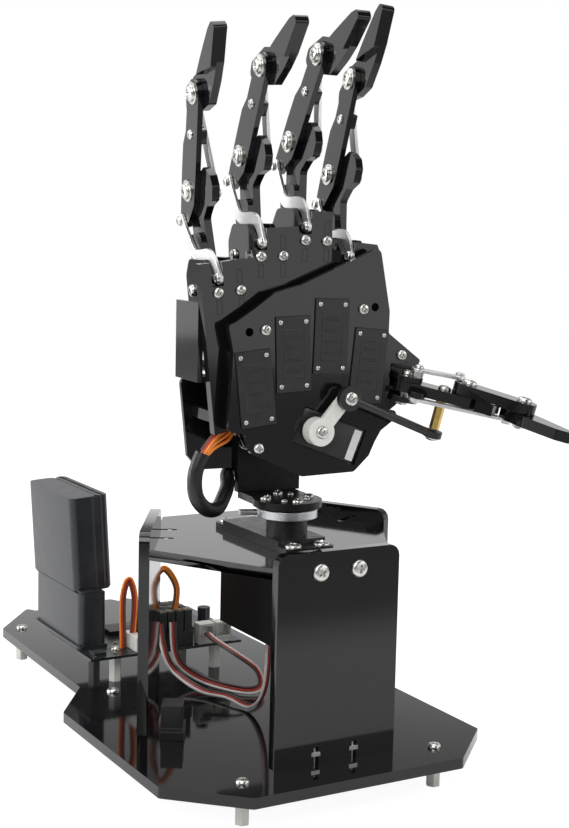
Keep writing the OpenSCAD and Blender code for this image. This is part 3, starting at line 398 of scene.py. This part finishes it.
def blocks(name, boxes, material, body, ease=0.2):
    """Moulded blocks as one mesh: each box is its low and high corner in mm."""
    shape = bmesh.new()
    for low, high in boxes:
        low, high = Vector(low) / 1000, Vector(high) / 1000
        core = bmesh.ops.create_cube(shape, size=1.0)["verts"]
        bmesh.ops.scale(shape, vec=high - low, verts=core)
        bmesh.ops.translate(shape, vec=(low + high) / 2, verts=core)
    piece = new_piece(name, made(shape, name, 30), material)
    edge = piece.modifiers.new("edge", "BEVEL")
    edge.width = ease / 1000
    edge.segments = 2
    edge.harden_normals = True
    settled(piece)
    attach(piece, body)


mask = finish("black_solder_mask", (0.008, 0.011, 0.013), 0.28, scale=90.0, spread=0.1, bump=0.1,
              fine=500.0, mottle=0.4)
tree = mask.node_tree
tracks = tree.nodes.new("ShaderNodeTexBrick")
tracks.inputs["Scale"].default_value = 260.0
tracks.inputs["Mortar Size"].default_value = 0.012
tracks.inputs["Color1"].default_value = (0.008, 0.011, 0.013, 1)
tracks.inputs["Color2"].default_value = (0.011, 0.016, 0.018, 1)
tracks.inputs["Mortar"].default_value = (0.03, 0.04, 0.042, 1)
tree.links.new(tree.nodes["Mapping"].outputs["Vector"], tracks.inputs["Vector"])
tree.links.new(tracks.outputs["Color"], tree.nodes["Principled BSDF"].inputs["Base Color"])
eased("controller_board", mask, 0.15)
gold = finish("gold_pads", (0.75, 0.55, 0.22), 0.25, metal=1.0, scale=300.0)
chip_skin = finish("chip_epoxy", (0.02, 0.02, 0.021), 0.5, scale=400.0, bump=0.1)
z = board_top * 1000
chips = [((-22, 144, z - 0.2), (-12, 154, z + 1.2)), ((4, 140, z - 0.2), (11, 148, z + 1.4)),
         ((-66, 104, z - 0.2), (-58, 112, z + 1.6)), ((14, 126, z - 0.2), (24, 134, z + 2.2)),
         ((-38, 124.5, z - 0.2), (-33, 130, z + 1.2))]
blocks("board_chips", chips, chip_skin, "tower", 0.12)
parts = []
for i in range(26):
    x = -68 + (i * 37) % 96
    y = 100 + (i * 23) % 66
    if -32 < x < 4 and 100 < y < 133 or x < -44 and y > 118:
        continue
    parts.append(((x, y, z - 0.1), (x + 1.6, y + 0.9, z + 0.7)))
blocks("board_small_parts", parts, gold, "tower", 0.08)

header_skin = finish("black_connector", (0.011, 0.011, 0.011), 0.4, scale=200.0, bump=0.1)
eased("board_headers", header_skin, 0.35)
pins = []
for row in range(3):
    for column in range(5):
        for k in range(3):
            x, y = -27.6 + column * 5.8 + k * 1.3, 106 + row * 9
            pins.append(((x - 0.3, y - 0.3, z + 21.5), (x + 0.3, y + 0.3, z + 22.6)))
blocks("servo_plug_pins", pins, gold, "tower", 0.06)
connector_white = finish("white_connector", (0.74, 0.74, 0.7), 0.38, scale=150.0, bump=0.05, mottle=0.05)
eased("board_connectors", connector_white, 0.3)
shape, _ = turned([(0.0041, 0), (0.0041, 0.0002), (0.0041, 0.0186), (0.0037, 0.0192), (0.0030, 0.0190)],
                  32, True)
film = finish("capacitor_sleeve_film", (0.02, 0.022, 0.03), 0.2, scale=200.0)
cap = new_piece("capacitor_sleeve", made(shape, "capacitor_sleeve"), film)
cap.data.transform(Matrix.Translation((0.0125, 0.113, board_top + 0.0008)))
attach(cap, "tower")

# ---- Receiver ---------------------------------------------------------------
# A slim moulded radio receiver that plugs upright into a socket block: two
# half shells with a parting line and a slightly smaller core between them.
shell_skin = finish("receiver_shell", (0.022, 0.024, 0.028), 0.33, scale=150.0, spread=0.06,
                    bump=0.12, fine=1500.0)
socket_top = board_top + 0.035


def rounded_block(shape, low, high, radius):
    """A block with its upright corners rounded, from its low and high corner."""
    steps = 6
    plan = []
    for cx, cy, start in ((high.x - radius, high.y - radius, 0), (low.x + radius, high.y - radius, 90),
                          (low.x + radius, low.y + radius, 180), (high.x - radius, low.y + radius, 270)):
        for i in range(steps + 1):
            a = math.radians(start + 90 * i / steps)
            plan.append((cx + radius * math.cos(a), cy + radius * math.sin(a)))
    bottom = [shape.verts.new((x, y, low.z)) for x, y in plan]
    top = [shape.verts.new((x, y, high.z)) for x, y in plan]
    for i in range(len(plan)):
        j = (i + 1) % len(plan)
        shape.faces.new((bottom[i], bottom[j], top[j], top[i]))
    shape.faces.new(list(reversed(bottom)))
    shape.faces.new(top)


shape = bmesh.new()
stand = Matrix.Translation((-0.0566, 0.1635, socket_top - 0.0005))
lean = stand @ Matrix.Rotation(math.radians(-3.5), 4, "Y")
tall, half_wide, corner = 0.0594, 0.0365, 0.0042
for x0, x1, inset, foot, head in ((-0.0125, 0.0048, 0, 0.0011, 0), (0.0053, 0.0125, 0, 0.0011, 0),
                                  (-0.012, 0.012, 0.0006, 0, 0.0008)):
    shell = bmesh.new()
    lower, upper = Vector((x0, -half_wide + inset, foot)), Vector((x1, half_wide - inset, tall - head))
    rounded_block(shell, lower, upper, corner)
    bmesh.ops.transform(shell, matrix=lean, verts=shell.verts)
    part = bpy.data.meshes.new("shell")
    shell.to_mesh(part)
    shell.free()
    shape.from_mesh(part)
    bpy.data.meshes.remove(part)
for x0, x1, y0, y1, foot, head, corner in (
        (-0.0705, -0.0502, 0.1188, 0.196, board_top, board_top + 0.0022, 0.003),
        (-0.069, -0.051, 0.120, 0.195, board_top + 0.001, socket_top - 0.0006, 0.004),
        (-0.0675, -0.0525, 0.1215, 0.1935, board_top + 0.002, socket_top + 0.0006, 0.003)):
    rounded_block(shape, Vector((x0, y0, foot)), Vector((x1, y1, head)), corner)
receiver = new_piece("receiver_shells", made(shape, "receiver_shells", 30), shell_skin)
edge = receiver.modifiers.new("edge", "BEVEL")
edge.width = 0.0018
edge.segments = 4
edge.harden_normals = True
settled(receiver)
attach(receiver, "tower")
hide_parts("receiver")

# ---- Servo leads and board loops --------------------------------------------
# Three-strand leads of silicone-jacketed wire, laid side by side and bonded,
# from the board's plugs to the tower, and short loops that turn back on it.


def eased_route(points, steps):
    """A smooth line through the points, with so many steps between each two."""
    points = [Vector(p) for p in points]
    last = len(points) - 1
    out = []
    for i in range(last):
        a, b, c, d = points[max(i - 1, 0)], points[i], points[i + 1], points[min(i + 2, last)]
        for j in range(steps):
            s = j / steps
            out.append(0.5 * (2 * b + (c - a) * s + (2 * a - 5 * b + 4 * c - d) * s * s
                              + (3 * b - a - 3 * c + d) * s ** 3))
    out.append(points[last])
    return out


def strand(shape, points, radius, shift, slot_index, around=8):
    """A tube along points in mm, moved sideways by shift, its ends closed."""
    side = None
    rings = []
    for i, p in enumerate(points):
        ahead = (points[min(i + 1, len(points) - 1)] - points[max(i - 1, 0)]).normalized()
        if side is None:
            side = ahead.cross(Vector((0, 0, 1) if abs(ahead.z) < 0.8 else (0, 1, 0))).normalized()
        side = (side - ahead * side.dot(ahead)).normalized()
        other = ahead.cross(side)
        centre = p + side * shift
        rings.append([shape.verts.new((centre + (side * math.cos(a) + other * math.sin(a)) * radius) / 1000)
                      for a in (2 * math.pi * k / around for k in range(around))])
    faces = []
    for low, high in zip(rings, rings[1:]):
        for k in range(around):
            faces.append(shape.faces.new((low[k], low[(k + 1) % around], high[(k + 1) % around], high[k])))
    faces += [shape.faces.new(list(reversed(rings[0]))), shape.faces.new(rings[-1])]
    for face in faces:
        face.material_index = slot_index


def jacket(name, colour):
    """The rubbery skin of one strand."""
    return finish(name, colour, 0.38, scale=220.0, spread=0.06, bump=0.05, mottle=0.1)


white_wire = jacket("white_wire_jacket", (0.72, 0.70, 0.68))
red_wire = jacket("red_wire_jacket", (0.42, 0.035, 0.02))
dark_wire = jacket("dark_wire_jacket", (0.05, 0.028, 0.025))
orange_wire = jacket("orange_wire_jacket", (0.86, 0.25, 0.03))
brown_wire = jacket("brown_wire_jacket", (0.14, 0.045, 0.018))
# each lead: its route in mm, the radius of its strands' share, and its jackets by number
leads = [
    ([[7.7, 98.3, 48], [9, 89, 45.5], [14, 70, 41], [21, 57, 34], [19, 49, 26], [8, 52, 24.5], [-6, 78, 26],
      [-16, 92, 36], [-15, 101, 57]], 1.0, (0, 1, 2)),
    ([[-24, 101, 57], [-24, 92, 40], [-20, 84, 30], [-14, 62, 24.6], [-6, 44, 25], [-2, 22, 25],
      [-1, 8, 40], [0, 6, 73.5]], 1.0, (0, 1, 2)),
    ([[-11, 107, 63.4], [-10, 107, 78], [-19, 107, 90], [-28, 107, 78], [-27, 107, 63.4]], 0.9, (3, 3, 4)),
    ([[-37, 112, 50.2], [-36, 112, 72], [-40, 112, 84], [-44, 112, 72], [-43.5, 112, 41.2]], 0.9,
     (3, 1, 4))]
shape = bmesh.new()
for points, radius, colours in leads:
    route = eased_route(points, 7)
    for k, colour in enumerate(colours):
        strand(shape, route, radius * 0.82, (k - 1) * radius * 1.6, colour)
wires = new_piece("servo_leads", made(shape, "servo_leads", 60),
                  white_wire, red_wire, dark_wire, orange_wire, brown_wire)
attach(wires, "tower")
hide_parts("servo_cables")

# ---- Wrist horn, turntable and stem -----------------------------------------
# A clear-anodised aluminium horn disc under a black anodised turntable that
# small screws hold, and the black stem that carries the palm.
silver = finish("satin_aluminium", (0.66, 0.67, 0.68), 0.3, metal=1.0, scale=40.0, stretch=(1, 1, 8),
                spread=0.08, bump=0.06, fine=400.0, mottle=0.08)
black_metal = finish("black_anodised", (0.012, 0.012, 0.013), 0.32, metal=0.6, scale=120.0, spread=0.08,
                     bump=0.05)
eased("wrist_horn", silver, 0.4)
eased("turntable", black_metal, 0.4)
eased("stem_bracket", black_metal, 0.5)

# ---- Finger servos ----------------------------------------------------------
# Four standard servos let through both palm plates. Each shows its moulded
# end cover with a screw at each corner and a shallow panel with four ribs.
joint = {j["name"]: j for j in frame["joints"]}
servo_seats = [(-31.05, 217.9, 6.46), (-9.7, 235.7, 2.29), (12.45, 244.9, -1.12), (35.4, 228.7, -5.19)]
cover_face = -37
square = ((-1, -1), (1, -1), (1, 1), (-1, 1))
eased("finger_servos", servo_skin, 0.6)
cover_screws = []
panels = bmesh.new()
for x, z, tilt in servo_seats:
    lean = Matrix.Rotation(math.radians(-tilt), 3, "Y")

    def on_cover(dx, dy, dz):
        return palm_turn @ (Vector((x, 0, z)) + lean @ Vector((dx, dy, dz))) / 1000

    for dx in (-7.4, 7.4):
        for dz in (-17, 17):
            cover_screws.append((on_cover(dx, cover_face, dz), OUT, dx + dz))
    for width, height, step in ((6.2, 13.4, 0.28), (4.4, 0.8, 0.6)):
        for dz in ((0,) if height > 3 else (-9, -3, 3, 9)):
            low_ring = [panels.verts.new(on_cover(sx * width, cover_face + 0.1, dz + sz * height))
                        for sx, sz in square]
            top_ring = [panels.verts.new(on_cover(sx * (width - 0.4), cover_face - step,
                                                  dz + sz * (height - 0.4))) for sx, sz in square]
            for i in range(4):
                panels.faces.new((low_ring[i], low_ring[(i + 1) % 4], top_ring[(i + 1) % 4], top_ring[i]))
            panels.faces.new(top_ring)
            panels.faces.new(list(reversed(low_ring)))
cover = new_piece("servo_cover_panels", made(panels, "servo_cover_panels", 20), servo_skin)
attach(cover, "hand")
fasten("servo_cover_screws", cross_head("cover_screw", 1.25, 0.7), cover_screws, "hand")

# ---- Thumb servo ------------------------------------------------------------
# A fifth servo lies low in the palm with its output towards the front. It has
# a blank white strip and its own short lead.
eased("thumb_servo", servo_skin, 0.6)
thumb_lean = Matrix.Rotation(math.radians(21), 3, "Y")


def on_thumb_servo(dx, dy, dz):
    return palm_turn @ (Vector((4.1, 0, 194.5)) + thumb_lean @ Vector((dx, dy, dz))) / 1000


strip = bmesh.new()
corners = [on_thumb_servo(dx, -34.6, dz) for dx, dz in ((24, -8.6), (28.6, -8.6), (28.6, 8.6), (24, 8.6))]
strip_thick = 0.0003
front_ring = [strip.verts.new(p) for p in corners]
back_ring = [strip.verts.new(p - OUT * strip_thick) for p in corners]
strip.faces.new(front_ring)
strip.faces.new(list(reversed(back_ring)))
for i in range(4):
    strip.faces.new((back_ring[i], back_ring[(i + 1) % 4], front_ring[(i + 1) % 4], front_ring[i]))
paper = finish("label_paper", (0.72, 0.72, 0.70), 0.5, scale=200.0, bump=0.03, mottle=0.06)
label = new_piece("servo_strip", made(strip, "servo_strip"), paper)
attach(label, "hand")
shape = bmesh.new()
bend = [[20, -30, 206], [16, -33.5, 210], [21, -34.8, 214], [27, -33, 213], [30, -30, 208]]
lead = eased_route([palm(*p) * 1000 for p in bend], 6)
for k in range(3):
    strand(shape, lead, 0.6, (k - 1) * 1.15, k)
thumb_lead = new_piece("thumb_servo_lead", made(shape, "thumb_servo_lead", 60),
                       orange_wire, red_wire, brown_wire)
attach(thumb_lead, "hand")

# ---- Palm screws and pivots -------------------------------------------------
# M3 screws hold each ear plate to the palm through a nut in a slot, and the
# finger axles are screws with a nut on the far ear.
axle_back = 0.0055


def ways(k):
    """A finger's pivot axis, the way to its back, and the middle of its knuckle."""
    at = joint[f"finger_{k}_mcp"]
    return Vector(at["axis"]).normalized(), -OUT, Vector(at["pos_m"]) + OUT * axle_back


# distances out from an axle to the ear and link faces, and to the tab screws
ear_face, link_face, tab_pitch, palm_front = 0.0079, 0.0048, 0.0064, 0.026
drops, tab_heads, axle_heads, axle_nuts, link_heads = [], [], [], [], []
for k in (1, 2, 3, 4):
    axis, back, knuckle = ways(k)
    axle = knuckle + back * axle_back
    for side in (-1, 1):
        seat = knuckle + axis * (side * tab_pitch) - back * palm_front
        tab_heads.append((seat, OUT, k + side * 0.6))
        drops.append((seat, OUT, 3.0, -0.02, 3))
    axle_heads.append((axle - axis * ear_face, -axis, k * 0.8))
    axle_nuts.append((axle + axis * ear_face, axis, k * 0.5))
    drops += [(axle, -axis, 3.6, 7.88, 11), (axle, axis, 3.6, 7.88, 11)]
    ground = Vector(joint[f"finger_{k}_s_link"]["pos_m"])
    link_heads.append((ground - axis * link_face, -axis, k * 1.3))
    drops.append((ground, -axis, 2.8, 4.78, 7))
front_heads = []
for x, z in ((-25.9, 248.5), (31.6, 259.2), (-28.6, 186), (56, 234)):
    seat = palm(x, -36, z)
    front_heads.append((seat, OUT, x))
    drops.append((seat, OUT, 3.0, -0.02, 3))
turn_heads = []
pivot = Vector(joint["wrist_pan"]["pos_m"])
turn_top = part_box("turntable")[1].z
big_ring = [(0.0133, 90 * i, 2.9) for i in range(4)]
small_ring = [(0.011, 56 + 90 * i, 1.7) for i in range(4)]
for reach, turn, radius in big_ring + small_ring:
    a = math.radians(turn + palm_angle)
    seat = Vector((pivot.x + reach * math.cos(a), pivot.y + reach * math.sin(a), turn_top))
    turn_heads.append((seat, UP, turn * 0.9))
    drops.append((seat, UP, radius + 0.1, -0.02, 2.5))
for x in (-7.77, 10.23):
    front_heads.append((palm(x, 14.5, 198), OUT, x))
    drops.append((palm(x, 14.5, 198), OUT, 3.0, -0.02, 2.5))
thumb_axis = -Vector(joint["thumb_swing"]["axis"]).normalized()
thumb_root = Vector(joint["thumb_swing"]["pos_m"])
drops += [(thumb_root, thumb_axis, 4.1, 6.28, 9), (thumb_root, -thumb_axis, 3.7, 8.38, 11)]
upper_ground = Vector(joint["thumb_link_turn"]["pos_m"])
drops.append((upper_ground, thumb_axis, 3.0, 0.94, 4))
eased("palm_hardware", steel, 0.15, drops)
axle_heads.append((thumb_root + thumb_axis * 0.0063, thumb_axis, 0.4))
axle_nuts.append((thumb_root - thumb_axis * 0.0084, -thumb_axis, 0.2))
link_heads.append((upper_ground + thumb_axis * 0.00096, thumb_axis, 1))
fasten("palm_tab_screws", cross_head("tab_head", 2.95, 2.1), tab_heads + front_heads, "hand")
fasten("knuckle_screws", cross_head("axle_head", 3.5, 2.0), axle_heads, "hand")
fasten("knuckle_nuts", hex_nut("axle_nut", 3.5, 2.2, 1.5), axle_nuts, "hand")
fasten("link_ground_screws", cross_head("ground_head", 2.7, 1.8), link_heads, "hand")
fasten("turntable_screws", cross_head("turn_head", 2.95, 1.8), turn_heads[:4], "hand")
fasten("turntable_pins", cross_head("pin_head", 1.7, 1.1), turn_heads[4:], "hand")

# ---- Finger bones -----------------------------------------------------------
# Each bone is cut from black acrylic in plies. Large flanged screws are the
# knuckle pins, with nuts on the far side, and the links screw on beside them.
link_metal = finish("milled_aluminium", (0.84, 0.84, 0.84), 0.4, metal=1.0, scale=60.0, spread=0.05,
                    bump=0.03, fine=700.0, mottle=0.05)
# the links' pins from the middle joint, and how far each ply's outer face is from the finger's middle
crook_out, crook_down = 0.003788, 0.018618
ply_screw_up = 0.0315
tip_link_length, tip_arm = 0.0484, 0.016261
ply_face, far_face, crook_face, tail_face, lug_face = 0.0028, 0.0048, 0.00475, 0.00675, 0.0068
for k in (1, 2, 3, 4):
    axis = ways(k)[0]
    pip = Vector(joint[f"finger_{k}_pip"]["pos_m"])
    dip = Vector(joint[f"finger_{k}_dip"]["pos_m"])
    along = (dip - pip).normalized()
    crook = pip + along.cross(axis) * crook_out - along * crook_down
    small = pip + along * ply_screw_up
    # the straight link's far end, where its circle meets the tip's
    far = Vector(joint[f"finger_{k}_tip_link"]["pos_m"])
    gap = dip - far
    reach = (tip_link_length ** 2 - tip_arm ** 2 + gap.length_squared) / (2 * gap.length)
    off = math.sqrt(tip_link_length ** 2 - reach ** 2)
    tail = far + gap.normalized() * reach + gap.normalized().cross(axis) * off
    eased(f"proximal_{k}", acrylic, laser_edge, [(far, axis, 2.7, 6.78, 9)])
    eased(f"middle_{k}", acrylic, laser_edge,
          [(pip, -axis, 6.1, 2.79, 7), (dip, -axis, 6.1, 2.79, 7), (small, -axis, 2.8, 2.79, 5),
           (pip, axis, 3.7, 4.78, 8), (dip, axis, 3.7, 4.78, 8)])
    eased(f"fingertip_{k}", acrylic, 0.35, weld=0.09, crease=3)
    eased(f"s_link_{k}", link_metal, 0.25, [(crook, -axis, 2.8, 4.74, 8)])
    eased(f"tip_link_{k}", link_metal, 0.25, [(tail, axis, 2.7, 6.74, 9)])
    fasten(f"pivot_screws_{k}", cross_head("pivot_head", 4.6, 2.1, flange=6.0),
           [(pip - axis * ply_face, -axis, k), (dip - axis * ply_face, -axis, k * 1.7)], f"middle_{k}")
    fasten(f"ply_screw_{k}", cross_head("ply_head", 2.7, 1.4),
           [(small - axis * ply_face, -axis, k * 0.6)], f"middle_{k}")
    fasten(f"pivot_nuts_{k}", hex_nut("pivot_nut", 3.6, 2.3, 1.9),
           [(pip + axis * far_face, axis, k), (dip + axis * far_face, axis, k)], f"middle_{k}")
    fasten(f"link_screw_{k}", cross_head("link_head", 2.7, 1.9),
           [(crook - axis * crook_face, -axis, k * 2.1)], f"s_link_{k}")
    fasten(f"tail_screw_{k}", cross_head("tail_head", 2.6, 1.4), [(tail + axis * tail_face, axis, k)],
           f"tip_link_{k}")
    fasten(f"lug_screw_{k}", cross_head("lug_head", 2.6, 1.3), [(far + axis * lug_face, axis, k)],
           f"proximal_{k}")

# ---- Servo horns and pull rods ----------------------------------------------
# White nylon horns on the finger servos and plated steel rods up to the tail
# of each first bone. The thumb has its own horn, a moulded black rod with an
# eye at each end, and a brass post.
for k in (1, 2, 3, 4):
    eased(f"finger_horn_{k}", connector_white, 0.3)
    eased(f"pull_rod_{k}", steel, 0.25)
hub = Vector(joint["thumb_horn_turn"]["pos_m"])
eye = Vector(joint["thumb_rod_turn"]["pos_m"])
hub_face = hub + OUT * (0.045 - hub.dot(OUT))
eye_face = eye + OUT * (0.048 - eye.dot(OUT))
rod_skin = finish("moulded_rod", (0.014, 0.014, 0.015), 0.36, scale=160.0, spread=0.08, bump=0.12)
eased("thumb_horn", connector_white, 0.5, [(hub_face, OUT, 3.5, -0.02, 3)])
fasten("horn_screw", cross_head("horn_head", 3.3, 1.5), [(hub_face, OUT, 0.7)], "thumb_horn")
post_joint = Vector(joint["thumb_mid"]["pos_m"])
bone = (post_joint - thumb_root).normalized()
post_foot = thumb_root + bone * 0.0215
eased("thumb_rod", rod_skin, 0.6, [(eye_face, OUT, 3.9, -0.02, 3), (post_foot, -thumb_axis, 3.5, 24.3, 28)])
fasten("rod_screws", cross_head("rod_head", 3.75, 1.9),
       [(eye_face, OUT, 0.3), (post_foot - thumb_axis * 0.0244, -thumb_axis, 0.3)], "thumb_rod")
brass = finish("turned_brass", (0.72, 0.50, 0.16), 0.22, metal=1.0, scale=250.0, spread=0.06, bump=0.06,
               mottle=0.1)
eased("thumb_post", brass, 0.4)

# ---- Thumb bones ------------------------------------------------------------
# Black acrylic plies stacked along the thumb's own pivots, with an aluminium
# link above and one below, and plated screws and nuts on each pivot.
end_joint = Vector(joint["thumb_end"]["pos_m"])
low_ground = Vector(joint["thumb_tip_link_turn"]["pos_m"])
eased("thumb_proximal", acrylic, laser_edge,
      [(post_foot, thumb_axis, 3.7, 2.98, 6), (low_ground, -thumb_axis, 2.7, 0.98, 4)])
eased("thumb_middle", acrylic, laser_edge,
      [(p, thumb_axis, 4.3, 9.18, 13) for p in (post_joint, end_joint)]
      + [(p, -thumb_axis, 3.4, 3.1, 7) for p in (post_joint, end_joint)])
eased("thumb_tip", acrylic, 0.35)
eased("thumb_link", link_metal, 0.25)
eased("thumb_tip_link", link_metal, 0.25)
fasten("thumb_pivot_screws", cross_head("thumb_head", 4.2, 2.3),
       [(p + thumb_axis * 0.0092, thumb_axis, i) for i, p in enumerate((post_joint, end_joint))],
       "thumb_middle")
fasten("thumb_pivot_nuts", hex_nut("thumb_nut", 3.2, 2.2, 1.7),
       [(p - thumb_axis * 0.0033, -thumb_axis, i) for i, p in enumerate((post_joint, end_joint))],
       "thumb_middle")
fasten("post_screw", cross_head("post_head", 3.6, 2.1), [(post_foot + thumb_axis * 0.003, thumb_axis, 0.2)],
       "thumb_proximal")
fasten("lower_link_screw", cross_head("lower_head", 2.6, 1.3),
       [(low_ground - thumb_axis * 0.001, -thumb_axis, 0.2)], "thumb_proximal")

# ---- Wire bundle and sleeve -------------------------------------------------
# The servo leads gather at the palm's lower corner as a fan of orange, red and
# brown wires and go into a black braided sleeve that bends back behind the stem.
shape = bmesh.new()
fan = [(-36, -16, 196, 3.6), (-39, -17, 192.5, 3.4), (-47, -18, 187.5, 2.2), (-53, -18.5, 181, 1.5)]
for row in (-1, 0, 1):
    for k in (-1, 0, 1):
        points = [palm(x, y + k * 1.7, z + row * spread + k * 0.9) * 1000 for x, y, z, spread in fan]
        strand(shape, eased_route(points, 6), 0.85, 0, k + 1 if row else 0)
bend = [[-53, -18, 182], [-57, -18, 171], [-56, -17, 159], [-49, -14, 151], [-40, -8, 149.5],
        [-31, 4, 153.5], [-24, 15.5, 157.5], [-20.3, 23.6, 163], [-12, 27, 165]]
strand(shape, eased_route([palm(*p) * 1000 for p in bend], 8), 4.1, 0, 3, around=20)
braid = finish("braided_sleeve", (0.008, 0.008, 0.009), 0.3, scale=200.0, bump=0.1)
tree = braid.node_tree
weave = [tree.nodes.new("ShaderNodeTexWave") for _ in range(2)]
for wave, way in zip(weave, ("DIAGONAL", "X")):
    wave.bands_direction = way
    wave.inputs["Scale"].default_value = 420.0
    tree.links.new(tree.nodes["Texture Coordinate"].outputs["Object"], wave.inputs["Vector"])
cross = tree.nodes.new("ShaderNodeMath")
cross.operation = "MULTIPLY"
tree.links.new(weave[0].outputs["Fac"], cross.inputs[0])
tree.links.new(weave[1].outputs["Fac"], cross.inputs[1])
relief = tree.nodes["Bump"]
relief.inputs["Strength"].default_value = 0.25
tree.links.new(cross.outputs[0], relief.inputs["Height"])
bundle = new_piece("hand_wires_and_sleeve", made(shape, "hand_wires_and_sleeve", 60),
                   orange_wire, red_wire, brown_wire, braid)
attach(bundle, "hand")
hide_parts("hand_cables")

# ---- Studio -----------------------------------------------------------------
# A pale sheet on the floor with painted shade on its near side, a white surround that is dimmer
# overhead and on the near side, and large soft lamps.
low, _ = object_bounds()
floor_mesh = bpy.data.meshes.new("floor")
floor_mesh.from_pydata([(-3, -3, low.z), (3, -3, low.z), (3, 3, low.z), (-3, 3, low.z)], [], [(0, 1, 2, 3)])
floor = new_piece("floor", floor_mesh)
pale = bpy.data.materials.new("floor_with_painted_near_shade")
pale.use_nodes = True
tree = pale.node_tree
shader = tree.nodes["Principled BSDF"]
shader.inputs["Roughness"].default_value = 0.9
place = tree.nodes.new("ShaderNodeTexCoord")
split = tree.nodes.new("ShaderNodeSeparateXYZ")
tree.links.new(place.outputs["Object"], split.inputs[0])
# painted shade: the floor's colour goes from pale to dark grey towards the near side, so the gloss acrylic
# reflects a dark floor there; the camera sees it mostly through the glow
painted_shade_mask = tree.nodes.new("ShaderNodeMapRange")
painted_shade_mask.interpolation_type = "SMOOTHSTEP"
painted_shade_mask.inputs["From Min"].default_value = -0.42
painted_shade_mask.inputs["From Max"].default_value = -0.3
tree.links.new(split.outputs["Y"], painted_shade_mask.inputs["Value"])
sheet = tree.nodes.new("ShaderNodeValToRGB")
sheet.color_ramp.elements[0].color = (0.3, 0.3, 0.31, 1)
sheet.color_ramp.elements[1].color = (0.9, 0.9, 0.9, 1)
tree.links.new(painted_shade_mask.outputs["Result"], sheet.inputs["Fac"])
tree.links.new(sheet.outputs["Color"], shader.inputs["Base Color"])
glow = tree.nodes.new("ShaderNodeEmission")
glow.inputs["Strength"].default_value = 1.3
rays = tree.nodes.new("ShaderNodeLightPath")
amount = tree.nodes.new("ShaderNodeMath")
amount.operation = "MULTIPLY"
amount.inputs[1].default_value = 0.72
tree.links.new(rays.outputs["Is Camera Ray"], amount.inputs[0])
mix = tree.nodes.new("ShaderNodeMixShader")
tree.links.new(amount.outputs[0], mix.inputs["Fac"])
tree.links.new(shader.outputs[0], mix.inputs[1])
tree.links.new(glow.outputs[0], mix.inputs[2])
tree.links.new(mix.outputs[0], tree.nodes["Material Output"].inputs["Surface"])
floor_mesh.materials.append(pale)

world = bpy.data.worlds.new("surround")
bpy.context.scene.world = world
world.use_nodes = True
tree = world.node_tree
sky = tree.nodes["Background"]
sky.inputs["Color"].default_value = (1, 1, 1, 1)
where = tree.nodes.new("ShaderNodeTexCoord")
split = tree.nodes.new("ShaderNodeSeparateXYZ")
tree.links.new(where.outputs["Generated"], split.inputs[0])
fall = tree.nodes.new("ShaderNodeMapRange")
fall.interpolation_type = "SMOOTHSTEP"
fall.inputs["From Min"].default_value = -0.75
fall.inputs["From Max"].default_value = 0.45
fall.inputs["To Min"].default_value = 0.12
fall.inputs["To Max"].default_value = 1.0
tree.links.new(split.outputs["Y"], fall.inputs["Value"])
rays = tree.nodes.new("ShaderNodeLightPath")
level = tree.nodes.new("ShaderNodeMix")
level.data_type = "FLOAT"
level.inputs["B"].default_value = 1.0
tree.links.new(rays.outputs["Is Camera Ray"], level.inputs["Factor"])
lid = tree.nodes.new("ShaderNodeMapRange")
lid.interpolation_type = "SMOOTHSTEP"
lid.inputs["From Min"].default_value = 0.22
lid.inputs["From Max"].default_value = 0.36
lid.inputs["To Min"].default_value = 1.0
lid.inputs["To Max"].default_value = 0.32
tree.links.new(split.outputs["Z"], lid.inputs["Value"])
dome = tree.nodes.new("ShaderNodeMath")
dome.operation = "MULTIPLY"
tree.links.new(fall.outputs["Result"], dome.inputs[0])
tree.links.new(lid.outputs["Result"], dome.inputs[1])
tree.links.new(dome.outputs[0], level.inputs["A"])
tree.links.new(level.outputs["Result"], sky.inputs["Strength"])

lamps = (("key", (-0.9, -0.9, 1.1), 0.9, 13), ("back_left", (-1.3, 0.9, 0.6), 1.1, 14),
         ("fill", (1.0, -0.6, 0.8), 0.8, 4), ("overhead", (0.0, 0.3, 1.7), 1.6, 20),
         ("front", (1.1, -2.0, 0.55), 1.3, 7))
for name, spot, size, power in lamps:
    lamp = bpy.data.lights.new(name, "AREA")
    lamp.shape = "SQUARE"
    lamp.size = size
    lamp.energy = power
    holder = bpy.data.objects.new(name, lamp)
    bpy.context.scene.collection.objects.link(holder)
    holder.location = spot
    holder.rotation_euler = (Vector((0, 0, 0.2)) - Vector(spot)).to_track_quat("-Z", "Y").to_euler()

right = Vector((0.86710781, -0.49761425, 0.02245242))
over = Vector((0.04378948, 0.12104922, 0.99168017))
ahead = Vector((0.49619204, 0.85891044, -0.12675299))
eye_point = Vector((-0.4117, -0.7184, 0.3048))
lens = bpy.data.cameras.new("camera")
lens.sensor_fit = "HORIZONTAL"
lens.sensor_width = 36.0
lens.lens = 95.03
camera = bpy.data.objects.new("camera", lens)
bpy.context.scene.collection.objects.link(camera)
camera.matrix_world = Matrix(((right.x, over.x, -ahead.x, eye_point.x),
                              (right.y, over.y, -ahead.y, eye_point.y),
                              (right.z, over.z, -ahead.z, eye_point.z),
                              (0, 0, 0, 1)))
bpy.context.scene.camera = camera
bpy.context.scene.view_settings.view_transform = "Standard"
